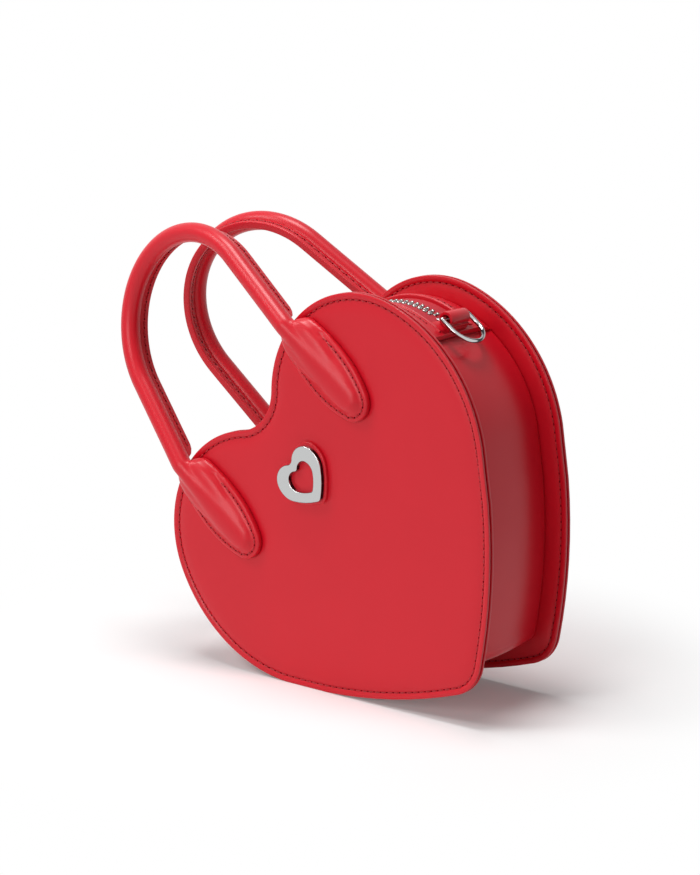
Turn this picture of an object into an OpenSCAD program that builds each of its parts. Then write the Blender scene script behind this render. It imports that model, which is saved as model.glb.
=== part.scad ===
// A heart shaped handbag, closed and lying on one flank, with two rolled leather handles.
// Lengths are millimetres and angles degrees. The heart is drawn upright, in (across, up), and is
// then rolled onto its flank: the floor is Z = 0, the bag's depth runs along Y and its front is -Y.

/* [Heart outline] */
// Radius of the dip between the two lobes
dip_r = 20.5; // [16:0.5:24]
// Turn of the dip on each side of the middle
dip_turn = 40; // [37:1:43]
// Radius of each lobe
lobe_r = 48.8; // [46:0.2:52]
// Turn of each lobe
lobe_turn = 107; // [104:1:110]
// Radius of each shoulder, which follows the lobe
shoulder_r = 72; // [68:1:76]
// Turn of each shoulder
shoulder_turn = 61; // [59:1:63]
// Turn of each flank, whose radius is what closes the heart
flank_turn = 22; // [20:1:24]
// Radius of the tip
tip_r = 17.5; // [17:0.5:22]

/* [Panels] */
// Depth of the bag over both panels
body_depth = 59; // [50:1:72]
// Thickness of a panel's outer leather
panel_leather_t = 1.2; // [0.8:0.1:1.8]
// Thickness of the stiff board inside a panel
panel_board_t = 1.1; // [0.6:0.1:2]
// Thickness of the leather that faces a panel's inner side
facing_t = 1.2; // [0.8:0.1:1.8]
// How far the board stops short of the leather's edge, which leaves a groove there
edge_groove = 1; // [0.4:0.1:2]

/* [Gusset] */
// How far the panels stand past the gusset
gusset_inset = 10.5; // [8:0.5:11]
// Thickness of the gusset's leather
gusset_t = 1.3; // [0.8:0.1:1.8]
// Width of the turned seam that holds the gusset to a panel
seam_w = 4; // [2.5:0.5:4.5]
// How far the middle of the lower gusset stands out beyond its edges
band_rise = 1.5; // [0:0.25:2.5]
// How far the zip gusset stands out beyond its edges
zip_rise = 4; // [2.5:0.5:5]
// Clear width between the two leather strips beside the zip
window_w = 20; // [17:0.5:24]
// Width of the flat border of each strip, sewn to the zip tape
border_w = 4.5; // [3:0.5:6]
// Width of the folded edge along each strip
fold_w = 1.6; // [1:0.1:2.2]
// Height of that folded edge above the border
fold_h = 0.6; // [0.3:0.1:1]
// Heading of the outline where each end patch starts
patch_heading = -76; // [-77:0.5:-76]
// Heading of the outline where the zip gusset ends, on each side
zip_end_heading = -84.5; // [-90:0.5:-84]
// Thickness of the folded edge that closes each end of the zip gusset
end_fold_t = 2.4; // [1.6:0.1:3]

/* [Zip] */
// Thickness of the zip tape
tape_t = 0.7; // [0.4:0.1:1]
// Distance between two teeth of one side, along the chain
tooth_pitch = 2.8; // [2.4:0.1:3.4]
// Width of the closed chain of teeth
chain_w = 5.6; // [4.6:0.2:6.4]
// Height of a tooth through the tape
tooth_h = 2.2; // [1.8:0.1:2.6]
// Thickness of a tooth along the chain
tooth_t = 1.15; // [0.8:0.05:1.2]
// How deep a tooth clasps the tape
tooth_grip = 1.2; // [0.8:0.1:1.5]
// Clear way between the two rows of teeth, which the slider's web runs in
chain_slit = 0.7; // [0.6:0.05:1]
// Heading of the outline at the last tooth, on each side
last_tooth_heading = -73; // [-73:0.5:-70]
// Length of a zip stop along the chain
stop_len = 2; // [1.4:0.1:2.2]
// Length of the slider along the chain
slider_len = 10; // [8:0.5:10]
// Width of the slider
slider_w = 8.4; // [8:0.2:9.6]
// Thickness of the slider's two plates
plate_t = 1.2; // [0.8:0.1:1.5]
// Heading of the outline at the closed slider, on the left lobe
slider_heading = -59.5; // [-59.5:0.5:-45]
// Diameter of the pin that the puller swings on
pin_d = 1.4; // [1:0.1:1.8]
// Length of the puller from its pin
puller_len = 17; // [15:0.5:18]
// Width of the puller
puller_w = 7; // [6:0.5:8]
// Thickness of the puller
puller_t = 1.3; // [0.9:0.1:1.8]
// Diameter of the hole near the puller's end
puller_hole_d = 2.6; // [2:0.1:3.2]

/* [D rings] */
// Clear width of each ring, which is the strap hardware's size
ring_w = 16; // [13:0.5:20]
// Reach of each ring, from the middle of its bar to its outer edge
ring_reach = 16; // [14:0.5:18]
// Diameter of the rings' wire
ring_wire_d = 2.2; // [1.8:0.1:2.6]
// Heading of the outline at each ring's bar
ring_heading = -79.5; // [-80:0.5:-79]
// Width of the leather loop that holds each ring
ring_tab_w = 12.6; // [9:0.2:12.8]
// Length of that loop along the gusset
ring_tab_len = 8; // [7:0.5:9]
// Thickness of that loop's leather
ring_tab_t = 1.4; // [1:0.1:1.6]
// Angle of the right ring out from the gusset, where its loop holds it
right_ring_angle = -6; // [-8:1:10]

/* [Handles] */
// Diameter of the rolled handles
handle_d = 8.7; // [7:0.1:9]
// Distance between the two necks of a handle
handle_span = 92.6; // [88:0.2:96]
// Height of a handle's middle line above its necks
handle_height = 82.6; // [75:0.1:110]
// Radius of the arch at the top of a handle
arch_r = 42; // [36:0.5:43]
// Lean of each handle towards the middle of the bag
handle_lean = 10; // [4:1:12]
// How far both handles sit off the heart's middle line
handle_shift = -1.2; // [-3:0.1:3]
// Reach of the sewn lip from the middle of the roll
lip_reach = 8; // [6:0.2:9]
// Thickness of the sewn lip
lip_t = 3.6; // [2:0.1:4.4]
// Distance from a neck to the start of the lip
lip_start = 6; // [5:0.5:12]
// Thickness of the leather round the core
handle_leather_t = 1.2; // [0.8:0.1:1.6]
// How far the necks lie below the tops of the lobes
neck_drop = 1.2; // [0:0.1:4]
// Distance from a panel's face to the middle of a neck
neck_stand = 5.4; // [5.4:0.1:7]

/* [Handle tabs] */
// Length of a tab below its neck
tab_len = 53; // [46:0.5:60]
// Greatest width of a tab
tab_w = 25.5; // [24:0.5:30]
// Distance from the neck down to a tab's widest place
tab_widest = 26; // [23:0.5:30]
// Distance from the neck down to a tab's shoulders
tab_top = 1; // [0.5:0.1:3]
// Radius of a tab's shoulders
tab_shoulder_r = 8; // [6:0.2:8.4]
// Half width of the straight top between a tab's shoulders
tab_top_half = 3; // [2:0.1:3.5]
// Radius of a tab's lower end
tab_end_r = 9; // [7:0.2:11]
// Thickness of a tab's sewn rim
tab_rim_t = 3; // [2:0.1:3.6]
// Width of the flat sewn rim
tab_rim_w = 3; // [2:0.1:4]
// Height of a tab's padded middle above its rim
tab_crown = 2.8; // [1.5:0.1:4]
// Distance over which the roll sinks from the neck into its tab
tab_sink = 26; // [20:1:32]
// Thickness of the filler sewn inside a tab
tab_filler_t = 1.4; // [0.8:0.1:1.6]

/* [Ornament] */
// Width of the small metal heart on the front panel
ornament_w = 27; // [22:0.5:34]
// Width of the open middle of that heart
ornament_open_w = 15; // [10:0.5:17]
// Height of the metal heart above its base
ornament_h = 2.2; // [1.4:0.1:3]
// Thickness of the padded base under the ornament
ornament_base_t = 1.6; // [1:0.1:2.4]
// How much wider than the ornament its base is
ornament_base_extra = 3; // [2:0.1:4]
// Height of the ornament's middle below the tops of the lobes
ornament_drop = 50.5; // [46:0.5:56]
// Diameter of the studs that hold the ornament
stud_d = 2; // [1.6:0.1:2.6]
// Diameter of the washers on those studs
washer_d = 5; // [4:0.5:6]
// Thickness of the washers
washer_t = 0.8; // [0.5:0.1:0.8]

/* [Lining] */
// Thickness of the textile lining
lining_t = 0.6; // [0.4:0.1:1]
// Width of the lining's mouth under the zip
lining_mouth_w = 16; // [12:0.5:16]

/* [Hidden] */

red_leather = "#d0303a";
dark_leather = "#a01c28";
chrome = "#c8ccd0";
board_brown = "#8c8074";
textile_red = "#7c1a22";
core_white = "#e6e2da";

// Clearances: of leather beside a piece that moves, of metal beside metal, and of a snug fit.
soft_gap = 0.3;
metal_gap = 0.15;
snug_gap = 0.05;
// A cut runs this far past the faces that it opens.
overrun = 1;

// Steps of the rounded shapes
round_fn = 64;
small_fn = 32;
dip_steps = 5;
lobe_steps = 14;
shoulder_steps = 8;
flank_steps = 4;
tip_steps = 3;
panel_finer = 3;
section_steps = 4;
slope_steps = 3;
crown_steps = 4;
tab_corner_steps = 6;
tab_high_steps = 2;
tab_low_steps = 3;
tab_end_steps = 5;
arch_steps = 18;
roll_steps = 12;
ball_steps = 3;

// Headings of the outline where its arcs meet, from the dip at 0 to the tip at half a turn.
half_turn = 180;
quarter = 90;
lobe_start = dip_turn;
shoulder_start = lobe_start - lobe_turn;
flank_start = shoulder_start - shoulder_turn;
tip_start = flank_start - flank_turn;

// The flank's radius brings the half outline back to the middle line at the tip.
function across(r, from, to) = r * (sin(from) - sin(to));
flank_r = -(across(-dip_r, 0, lobe_start) + across(lobe_r, lobe_start, shoulder_start)
            + across(shoulder_r, shoulder_start, flank_start) + across(tip_r, tip_start, -half_turn))
          / across(1, flank_start, tip_start);

// The half outline's arcs as [signed radius, first heading, last heading, steps].
// A negative radius is hollow. The flank's first step is the flat that the bag lies on.
DIP = 0;
LOBE = DIP + 1;
SHOULDER = LOBE + 1;
FLANK = SHOULDER + 1;
TIP = FLANK + 1;
arcs = [
    [-dip_r, 0, lobe_start, dip_steps],
    [lobe_r, lobe_start, shoulder_start, lobe_steps],
    [shoulder_r, shoulder_start, flank_start, shoulder_steps],
    [flank_r, flank_start, tip_start, flank_steps],
    [tip_r, tip_start, -half_turn, tip_steps]
];

// The dip's depth puts the tops of the lobes at height 0.
dip_v = -(dip_r + lobe_r) * (1 - cos(dip_turn));

// A station is a place on the outline: [across, up, heading].
function arc_start(i) = i == DIP ? [0, dip_v] :
    let (q = arc_start(i - 1), a = arcs[i - 1])
    q + a[0] * [sin(a[1]) - sin(a[2]), cos(a[2]) - cos(a[1])];
function arc_centre(i) = arc_start(i) + arcs[i][0] * [sin(arcs[i][1]), -cos(arcs[i][1])];
function on_arc(i, heading) =
    let (p = arc_centre(i) + arcs[i][0] * [-sin(heading), cos(heading)]) [p.x, p.y, heading];
function mirrored(s) = [-s.x, s.y, -s.z];

// The point that lies a distance inside the outline at a station.
function inside(s, inset) = [s.x + inset * sin(s.z), s.y - inset * cos(s.z)];

// The panels' edges show most, so their arcs have finer steps, all but the flank with its flat.
function half_stations(finer) = [
    for (i = [DIP:TIP]) let (n = i == FLANK ? arcs[i][3] : finer * arcs[i][3]) for (k = [0:n - 1])
        on_arc(i, arcs[i][1] + (arcs[i][2] - arcs[i][1]) * k / n),
    on_arc(TIP, -half_turn)
];
function both_sides(half) = [for (s = half) s, for (i = [len(half) - 2:-1:1]) mirrored(half[i])];
half = half_stations(1);
outline = both_sides(half);
panel_outline = both_sides(half_stations(panel_finer));

// Stations of the zip gusset, from its left end over both lobes, and of the gusset below it.
zip_end = on_arc(SHOULDER, zip_end_heading);
upper_half = [for (s = half) if (s.z > zip_end_heading) s, zip_end];
lower_half = [zip_end, for (s = half) if (s.z < zip_end_heading) s];
upper = [for (i = [len(upper_half) - 1:-1:1]) mirrored(upper_half[i]), for (s = upper_half) s];
lower = [for (s = lower_half) s, for (i = [len(lower_half) - 2:-1:0]) mirrored(lower_half[i])];

// Depths, measured from the middle of the bag.
half_depth = body_depth / 2;
half_inner = half_depth - panel_leather_t - panel_board_t - facing_t;
seam_y = half_inner - gusset_t;
lining_y = seam_y - lining_t;
tape_y = window_w / 2 + border_w;

// Levels of the zip and lining, as insets from the outline. The tape lies under the borders.
strip_level = gusset_inset - zip_rise;
tape_level = strip_level + gusset_t;
chain_level = tape_level + tape_t / 2;
lining_level = gusset_inset + gusset_t;
seam_level = lining_level + seam_w;
function band_level(y) = gusset_inset - band_rise * (1 - pow(y / half_inner, 2));
function slope_level(w) = strip_level + zip_rise * (w + pow(w, 2)) / 2;

// The bag lies on the first step of its left flank, which this roll makes level.
flank_step = (tip_start - flank_start) / flank_steps;
roll = half_turn + flank_start + flank_step / 2;
function rolled_x(p) = p.x * cos(roll) - p.y * sin(roll);
function rolled_z(p) = p.x * sin(roll) + p.y * cos(roll);
floor_z = min([for (s = panel_outline) rolled_z(s)]);

// Handles. Each lies in a plane that leans inwards about the line through its two necks.
// A leg runs from its neck to where it touches the arch.
handle_r = handle_d / 2;
core_r = handle_r - handle_leather_t;
neck_v = -neck_drop;
neck_y = half_depth + neck_stand;
arch_rise = handle_height - arch_r;
neck_to_arch = norm([handle_span / 2, arch_rise]);
leg_len = sqrt(pow(neck_to_arch, 2) - pow(arch_r, 2));
leg_lean = quarter - atan2(arch_rise, handle_span / 2) - asin(arch_r / neck_to_arch);

// The middle of the whole bag along the floor, from the handles' arches to the panels.
arch_reach = arch_r * norm([cos(roll), sin(roll) * cos(handle_lean)]) + handle_r;
arch_middle = [handle_shift, neck_v + arch_rise * cos(handle_lean)];
middle_x = (rolled_x(arch_middle) - arch_reach + max([for (s = panel_outline) rolled_x(s)])) / 2;

// A handle tab's outline: two arcs on each side, tangent to its shoulders and to its round end.
tab_half = tab_w / 2;
tab_end_v = tab_end_r - tab_len;
tab_low_run = tab_len - tab_end_r - tab_widest;
tab_low_r = (pow(tab_half, 2) + pow(tab_low_run, 2) - pow(tab_end_r, 2)) / (2 * (tab_half - tab_end_r));
tab_low_turn = atan2(tab_low_run, tab_low_r - tab_half);
tab_high_w = tab_half - tab_top_half;
tab_high_run = tab_widest - tab_top - tab_shoulder_r;
tab_high_r = (pow(tab_high_w, 2) + pow(tab_high_run, 2) - pow(tab_shoulder_r, 2))
             / (2 * (tab_high_w - tab_shoulder_r));
tab_high_turn = atan2(tab_high_run, tab_high_r - tab_high_w);

// Points of a tab's outline a distance inside it, anticlockwise from the top of its left side.
function arc_points(centre, r, from, to, steps) =
    [for (k = [0:steps]) let (a = from + (to - from) * k / steps) centre + r * [cos(a), sin(a)]];
function without_last(list) = [for (i = [0:len(list) - 2]) list[i]];
function tab_side(inset) = [
    each without_last(arc_points([tab_top_half, -tab_top - tab_shoulder_r], tab_shoulder_r - inset,
                                 quarter, tab_high_turn, tab_corner_steps)),
    each without_last(arc_points([tab_half - tab_high_r, -tab_widest], tab_high_r - inset,
                                 tab_high_turn, 0, tab_high_steps)),
    each without_last(arc_points([tab_half - tab_low_r, -tab_widest], tab_low_r - inset,
                                 0, -tab_low_turn, tab_low_steps)),
    each arc_points([0, tab_end_v], tab_end_r - inset, -tab_low_turn, -quarter, tab_end_steps)
];
function tab_outline(inset) =
    let (side = tab_side(inset))
    [for (p = side) [-p.x, p.y], for (i = [len(side) - 2:-1:0]) side[i]];

// The padded middle's edge as [inset, height above the rim]. It stays inside the tightest arc.
crown_inset = min(tab_shoulder_r, tab_end_r) - 2 * snug_gap;
crown_edge = [
    for (k = [0:crown_steps]) let (a = quarter * k / crown_steps)
        [tab_rim_w + (crown_inset - tab_rim_w) * (1 - cos(a)), tab_crown * sin(a)]
];
pocket_inset = 3 * crown_inset / 4;
// How much of the roll's radius the cut for a handle's swing reaches below its neck.
swing_share = 0.6;

// D rings and their loops, on top of the zip gusset's ends. A loop's foot is two layers thick.
ring_wire_r = ring_wire_d / 2;
ring_bore_r = ring_wire_r + soft_gap;
ring_loop_r = ring_bore_r + ring_tab_t;
bar_inset = strip_level - 2 * ring_tab_t - ring_bore_r;
ring_bend_r = (ring_w + ring_wire_d) / 2;
ring_side_len = ring_reach - ring_wire_r - ring_bend_r;
ring_foot_back_share = 0.4;
bar_place = inside(on_arc(SHOULDER, ring_heading), bar_inset);

// Hanging from the left side, a piece makes this angle with the gusset at its heading.
function hanging_angle(heading) = roll - heading - quarter;

// The slider rides the left lobe, so its plates are turned about the lobe's centre.
lobe_centre = arc_centre(LOBE);
chain_r = lobe_r - chain_level;
tooth_top_r = chain_r + tooth_h / 2;
tooth_bottom_r = chain_r - tooth_h / 2;
slider_angle = slider_len / chain_r * half_turn / PI;
slider_top_r = tooth_top_r + metal_gap + plate_t;
slider_bottom_r = tooth_bottom_r - metal_gap - plate_t;
rim_w = (slider_w - chain_w) / 2 - soft_gap;
pin_r = slider_top_r + 3 * pin_d / 2;
hub_r = 1.1 * pin_d;
hub_w = puller_w / 2;
cheek_t = plate_t;
slider_web_share = 0.2;

// The ornament is a small copy of the heart, and its studs stand in the middle of its band.
ornament_v = -ornament_drop;
heart_w = 2 * max([for (s = outline) s.x]);
heart_middle_v = min([for (s = outline) s.y]) / 2;
stud_x = (ornament_w + ornament_open_w) / 4;
stud_v_share = 0.12;
stud_v = ornament_v + ornament_w * stud_v_share;

// Rolls the upright bag onto its flank.
module lying() {
    translate([-middle_x, 0, -floor_z]) rotate([0, -roll, 0]) children();
}

// Raises an outline drawn in (across, up) into a sheet between two depths.
module sheet(from_y, to_y) {
    translate([0, to_y, 0]) rotate([quarter, 0, 0]) linear_extrude(height = to_y - from_y) children();
}

// A place in the outline's plane: X runs along the heading and Z points out of the bag.
module at_place(p, heading) {
    translate([p.x, 0, p.y]) rotate([0, -heading, 0]) children();
}

// Extrudes a section drawn as (depth, outwards) along X, from a place.
module along(length) {
    rotate([quarter, 0, quarter]) linear_extrude(height = length) children();
}

// A solid turned about the depth axis, by half its angle to each side of straight up.
// Its section is drawn as (radius, depth).
module turned(angle) {
    rotate([-quarter, 0, 0]) rotate([0, 0, -quarter - angle / 2])
        rotate_extrude(angle = angle, $fn = 2 * round_fn) children();
}

// A cylinder along the depth axis, about the origin.
module pin(length, r, steps) {
    rotate([quarter, 0, 0]) cylinder(h = length, r = r, center = true, $fn = steps);
}

module heart(inset, stations = outline) {
    polygon([for (s = stations) inside(s, inset)]);
}

// Skins rows of points, each row a closed loop that runs anticlockwise seen from the last row.
module skinned(rows) {
    n = len(rows[0]);
    last = len(rows) - 1;
    sides = [
        for (i = [0:last - 1]) for (j = [0:n - 1])
            let (a = i * n + j, b = i * n + (j + 1) % n, c = a + n, d = b + n)
            each [[a, d, b], [a, c, d]]
    ];
    // A cap joins each point to the one opposite it, so it suits a bent strip as well.
    cap = [
        for (j = [0:ceil(n / 2) - 2])
            j + 1 < n - 2 - j ? [j, j + 1, n - 2 - j, n - 1 - j] : [j, j + 1, n - 1 - j]
    ];
    far_cap = [for (f = cap) [for (i = [len(f) - 1:-1:0]) last * n + f[i]]];
    polyhedron([for (row = rows) each row], [each sides, each cap, each far_cap]);
}

// Carries a section of [inset, depth] points along a row of stations.
module swept(stations, section) {
    skinned([
        for (s = stations) [for (q = section) let (p = inside(s, q.x)) [p.x, q.y, p.y]]
    ]);
}

// Panels
module stud_holes() {
    for (side = [-1, 1]) translate([side * stud_x, -half_depth, stud_v])
        pin(half_depth, stud_d / 2 + snug_gap, small_fn);
}

module front_panel_leather() {
    color(red_leather) lying() difference() {
        sheet(-half_depth, -half_depth + panel_leather_t) heart(0, panel_outline);
        stud_holes();
    }
}

module front_panel_board() {
    color(board_brown) lying() difference() {
        sheet(-half_depth + panel_leather_t, -half_inner - facing_t) heart(edge_groove, panel_outline);
        stud_holes();
    }
}

module front_panel_facing() {
    color(red_leather) lying() difference() {
        sheet(-half_inner - facing_t, -half_inner) heart(0, panel_outline);
        stud_holes();
    }
}

module back_panel_leather() {
    color(red_leather) lying() sheet(half_depth - panel_leather_t, half_depth) heart(0, panel_outline);
}

module back_panel_board() {
    color(board_brown) lying() sheet(half_inner + facing_t, half_depth - panel_leather_t)
        heart(edge_groove, panel_outline);
}

module back_panel_facing() {
    color(red_leather) lying() sheet(half_inner, half_inner + facing_t) heart(0, panel_outline);
}

// Gusset. Its section turns inwards along both panels, where it is sewn. Each section is an
// outer run of points and an inner run back, with as many points in both.
module gusset_band() {
    outer = [
        for (k = [section_steps:-1:-section_steps]) let (y = half_inner * k / section_steps)
            [band_level(y), y]
    ];
    inner = [
        for (k = [-section_steps:section_steps]) let (y = seam_y * k / section_steps)
            [band_level(y) + gusset_t, y]
    ];
    color(red_leather) lying() swept(lower, [
        [seam_level, half_inner], each outer, [seam_level, -half_inner],
        [seam_level, -seam_y], each inner, [seam_level, seam_y]
    ]);
}

// A strip rises from its seam to its flat border, which ends in a folded edge beside the zip.
module strip() {
    outer = [
        for (k = [slope_steps:-1:0]) let (w = k / slope_steps)
            [slope_level(w), tape_y + (half_inner - tape_y) * w]
    ];
    inner = [
        for (k = [0:slope_steps]) let (w = k / slope_steps)
            [slope_level(w) + gusset_t, tape_y + (seam_y - tape_y) * w]
    ];
    edge_y = window_w / 2;
    fold_y = edge_y + fold_w;
    swept(upper, [
        [seam_level, half_inner], each outer, [strip_level, fold_y],
        [strip_level - fold_h, fold_y - fold_h], [strip_level - fold_h, edge_y],
        [tape_level, edge_y], [tape_level, fold_y - fold_h],
        [tape_level, fold_y], each inner, [seam_level, seam_y]
    ]);
}

module gusset_strip_front() {
    color(red_leather) lying() mirror([0, 1, 0]) strip();
}

module gusset_strip_back() {
    color(red_leather) lying() strip();
}

// An end of the zip gusset: a patch between the strips, and a folded edge down to the band.
module zip_end_patch() {
    edge_y = window_w / 2;
    swept([on_arc(SHOULDER, patch_heading), for (s = upper_half) if (s.z < patch_heading) s], [
        [strip_level, edge_y], [strip_level, -edge_y], [tape_level, -edge_y], [tape_level, edge_y]
    ]);
    top = [
        for (k = [slope_steps:-1:0]) let (w = k / slope_steps)
            [tape_y + (half_inner - tape_y) * w, -slope_level(w)]
    ];
    foot = [
        for (k = [1 - section_steps:section_steps - 1]) let (y = half_inner * k / section_steps)
            [y, -band_level(y)]
    ];
    at_place(zip_end, zip_end_heading) along(end_fold_t) polygon([
        each top, for (i = [slope_steps:-1:0]) [-top[i].x, top[i].y], each foot
    ]);
}

module left_zip_end() {
    color(red_leather) lying() mirror([1, 0, 0]) zip_end_patch();
}

module right_zip_end() {
    color(red_leather) lying() zip_end_patch();
}

// Zip. The tape is in two halves, whose inner edges the teeth clasp.
module zip_tape() {
    inner_y = chain_w / 2 - tooth_grip;
    color(textile_red) lying() for (side = [0, 1]) mirror([0, side, 0])
        swept(upper, [
            [tape_level, tape_y], [tape_level, inner_y],
            [tape_level + tape_t, inner_y], [tape_level + tape_t, tape_y]
        ]);
}

// Length of the chain along an arc, and the station at a length from the dip.
function chain_run(i, from, to) = abs(from - to) * PI / half_turn * abs(arcs[i][0] - chain_level);
dip_run = chain_run(DIP, 0, lobe_start);
lobe_run = chain_run(LOBE, lobe_start, shoulder_start);
last_run = chain_run(SHOULDER, shoulder_start, last_tooth_heading);
chain_half = dip_run + lobe_run + last_run;
function right_chain_station(s) =
    s < dip_run ? on_arc(DIP, lobe_start * s / dip_run) :
    s < dip_run + lobe_run ? on_arc(LOBE, lobe_start - lobe_turn * (s - dip_run) / lobe_run) :
    on_arc(SHOULDER, shoulder_start
           + (last_tooth_heading - shoulder_start) * (s - dip_run - lobe_run) / last_run);
function chain_station(s) = s < 0 ? mirrored(right_chain_station(-s)) : right_chain_station(s);

module tooth() {
    tip_y = chain_slit / 2;
    root_y = chain_w / 2;
    grip_y = root_y - tooth_grip - snug_gap;
    grip_z = tape_t / 2 + soft_gap;
    translate([-tooth_t / 2, 0, 0]) along(tooth_t) polygon([
        [tip_y, -tooth_h / 2], [root_y, -tooth_h / 2], [root_y, -grip_z], [grip_y, -grip_z],
        [grip_y, grip_z], [root_y, grip_z], [root_y, tooth_h / 2], [tip_y, tooth_h / 2]
    ]);
}

tooth_count = floor(2 * chain_half / tooth_pitch);
module zip_teeth() {
    color(chrome) lying() for (side = [0, 1]) for (i = [0:tooth_count - 1 - side]) {
        s = chain_station((i + side / 2 - (tooth_count - 1) / 2) * tooth_pitch);
        at_place(inside(s, chain_level), s.z) mirror([0, side, 0]) tooth();
    }
}

// A stop pinches both tapes between two plates, which a block in the middle joins.
module zip_stops() {
    stop_turn = (stop_len / 2 + tooth_t) / (shoulder_r - chain_level) * half_turn / PI;
    s = on_arc(SHOULDER, last_tooth_heading - stop_turn);
    block_w = chain_w - 2 * tooth_grip - 2 * snug_gap;
    stop_plate_t = tooth_h / 2 - tape_t / 2 - soft_gap;
    color(chrome) lying() for (side = [0, 1]) mirror([side, 0, 0])
        at_place(inside(s, chain_level), s.z) {
            cube([stop_len, block_w, tooth_h], center = true);
            for (up = [0, 1]) mirror([0, 0, up]) translate([0, 0, (tooth_h - stop_plate_t) / 2])
                cube([stop_len, chain_w, stop_plate_t], center = true);
        }
}

// Puts a piece on the left lobe: Z points out through the slider and -X to the shoulder.
module on_left_lobe() {
    translate([-lobe_centre.x, 0, lobe_centre.y]) rotate([0, slider_heading, 0]) children();
}

// One plate of the slider. Its rims reach from the plate to just clear of the tape.
module slider_plate(plate_r, rim_r, face_r) {
    outer_y = slider_w / 2;
    inner_y = outer_y - rim_w;
    turned(slider_angle) polygon([
        [rim_r, inner_y], [rim_r, outer_y], [plate_r, outer_y], [plate_r, -outer_y],
        [rim_r, -outer_y], [rim_r, -inner_y], [face_r, -inner_y], [face_r, inner_y]
    ]);
}

module zip_slider() {
    web_t = chain_slit - 2 * metal_gap;
    web_angle = slider_angle * slider_web_share;
    top_face_r = tooth_top_r + metal_gap;
    bottom_face_r = tooth_bottom_r - metal_gap;
    tape_clear = tape_t / 2 + soft_gap;
    cheek_y = hub_w / 2 + metal_gap;
    cheek_root_r = slider_top_r - plate_t / 2;
    color(chrome) lying() on_left_lobe() {
        slider_plate(slider_top_r, chain_r + tape_clear, top_face_r);
        slider_plate(slider_bottom_r, chain_r - tape_clear, bottom_face_r);
        turned(web_angle) translate([bottom_face_r - plate_t / 2, -web_t / 2])
            square([top_face_r - bottom_face_r + plate_t, web_t]);
        for (side = [-1, 1]) translate([0, side * (cheek_y + cheek_t / 2), 0]) {
            translate([-pin_d, -cheek_t / 2, cheek_root_r])
                cube([2 * pin_d, cheek_t, pin_r - cheek_root_r]);
            translate([0, 0, pin_r]) pin(cheek_t, pin_d, small_fn);
        }
        translate([0, 0, pin_r]) pin(2 * cheek_y + cheek_t, pin_d / 2, small_fn);
    }
}

module zip_puller() {
    neck_len = 2.6 * pin_d;
    wide_len = 4.2 * pin_d;
    end_r = puller_w / 2;
    end_x = puller_len - end_r;
    color(chrome) lying() on_left_lobe() translate([0, 0, pin_r])
        rotate([0, half_turn + hanging_angle(slider_heading), 0]) difference() {
            union() {
                pin(hub_w, hub_r, small_fn);
                translate([0, 0, -puller_t / 2]) linear_extrude(height = puller_t) polygon([
                    [0, -hub_w / 2], [neck_len, -hub_w / 2], [wide_len, -end_r], [end_x, -end_r],
                    [end_x, end_r], [wide_len, end_r], [neck_len, hub_w / 2], [0, hub_w / 2]
                ]);
                translate([end_x, 0, 0]) cylinder(h = puller_t, r = end_r, center = true, $fn = small_fn);
            }
            pin(hub_w + overrun, pin_d / 2 + metal_gap, small_fn);
            translate([end_x, 0, 0])
                cylinder(h = puller_t + overrun, r = puller_hole_d / 2, center = true, $fn = small_fn);
        }
}

// D rings and the leather loops that hold them
module ring_tab() {
    foot_z = bar_inset - strip_level;
    at_place(bar_place, ring_heading) difference() {
        union() {
            pin(ring_tab_w, ring_loop_r, round_fn);
            translate([-ring_tab_len * ring_foot_back_share, -ring_tab_w / 2, foot_z])
                cube([ring_tab_len, ring_tab_w, 2 * ring_tab_t]);
            translate([-ring_loop_r, -ring_tab_w / 2, foot_z]) cube([2 * ring_loop_r, ring_tab_w, -foot_z]);
        }
        pin(ring_tab_w + overrun, ring_bore_r, round_fn);
    }
}

module left_ring_tab() {
    color(red_leather) lying() mirror([1, 0, 0]) ring_tab();
}

module right_ring_tab() {
    color(red_leather) lying() ring_tab();
}

module d_ring(angle) {
    at_place(bar_place, ring_heading) rotate([0, -angle, 0]) {
        pin(2 * ring_bend_r, ring_wire_r, small_fn);
        for (side = [-1, 1]) translate([0, side * ring_bend_r, 0]) {
            sphere(r = ring_wire_r, $fn = small_fn);
            rotate([0, quarter, 0]) cylinder(h = ring_side_len, r = ring_wire_r, $fn = small_fn);
        }
        translate([ring_side_len, 0, 0]) rotate([0, 0, -quarter])
            rotate_extrude(angle = half_turn, $fn = round_fn) translate([ring_bend_r, 0])
                circle(r = ring_wire_r, $fn = small_fn);
    }
}

module left_d_ring() {
    color(chrome) lying() mirror([1, 0, 0]) d_ring(hanging_angle(ring_heading));
}

module right_d_ring() {
    color(chrome) lying() d_ring(right_ring_angle);
}

// Puts a piece in the front handle's plane, with its origin midway between the necks.
module handle_plane() {
    translate([handle_shift, -neck_y, neck_v]) rotate([-handle_lean, 0, 0]) children();
}

// Stations of a handle's middle line in its own plane: a leg from its neck, and the arch.
function leg_station(side, s) =
    [side * (handle_span / 2 - s * sin(leg_lean)), s * cos(leg_lean), -side * (quarter - leg_lean)];
arch_stations = [
    for (k = [0:arch_steps]) let (h = (quarter - leg_lean) * (1 - 2 * k / arch_steps))
        [-arch_r * sin(h), arch_rise + arch_r * cos(h), h]
];

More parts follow.
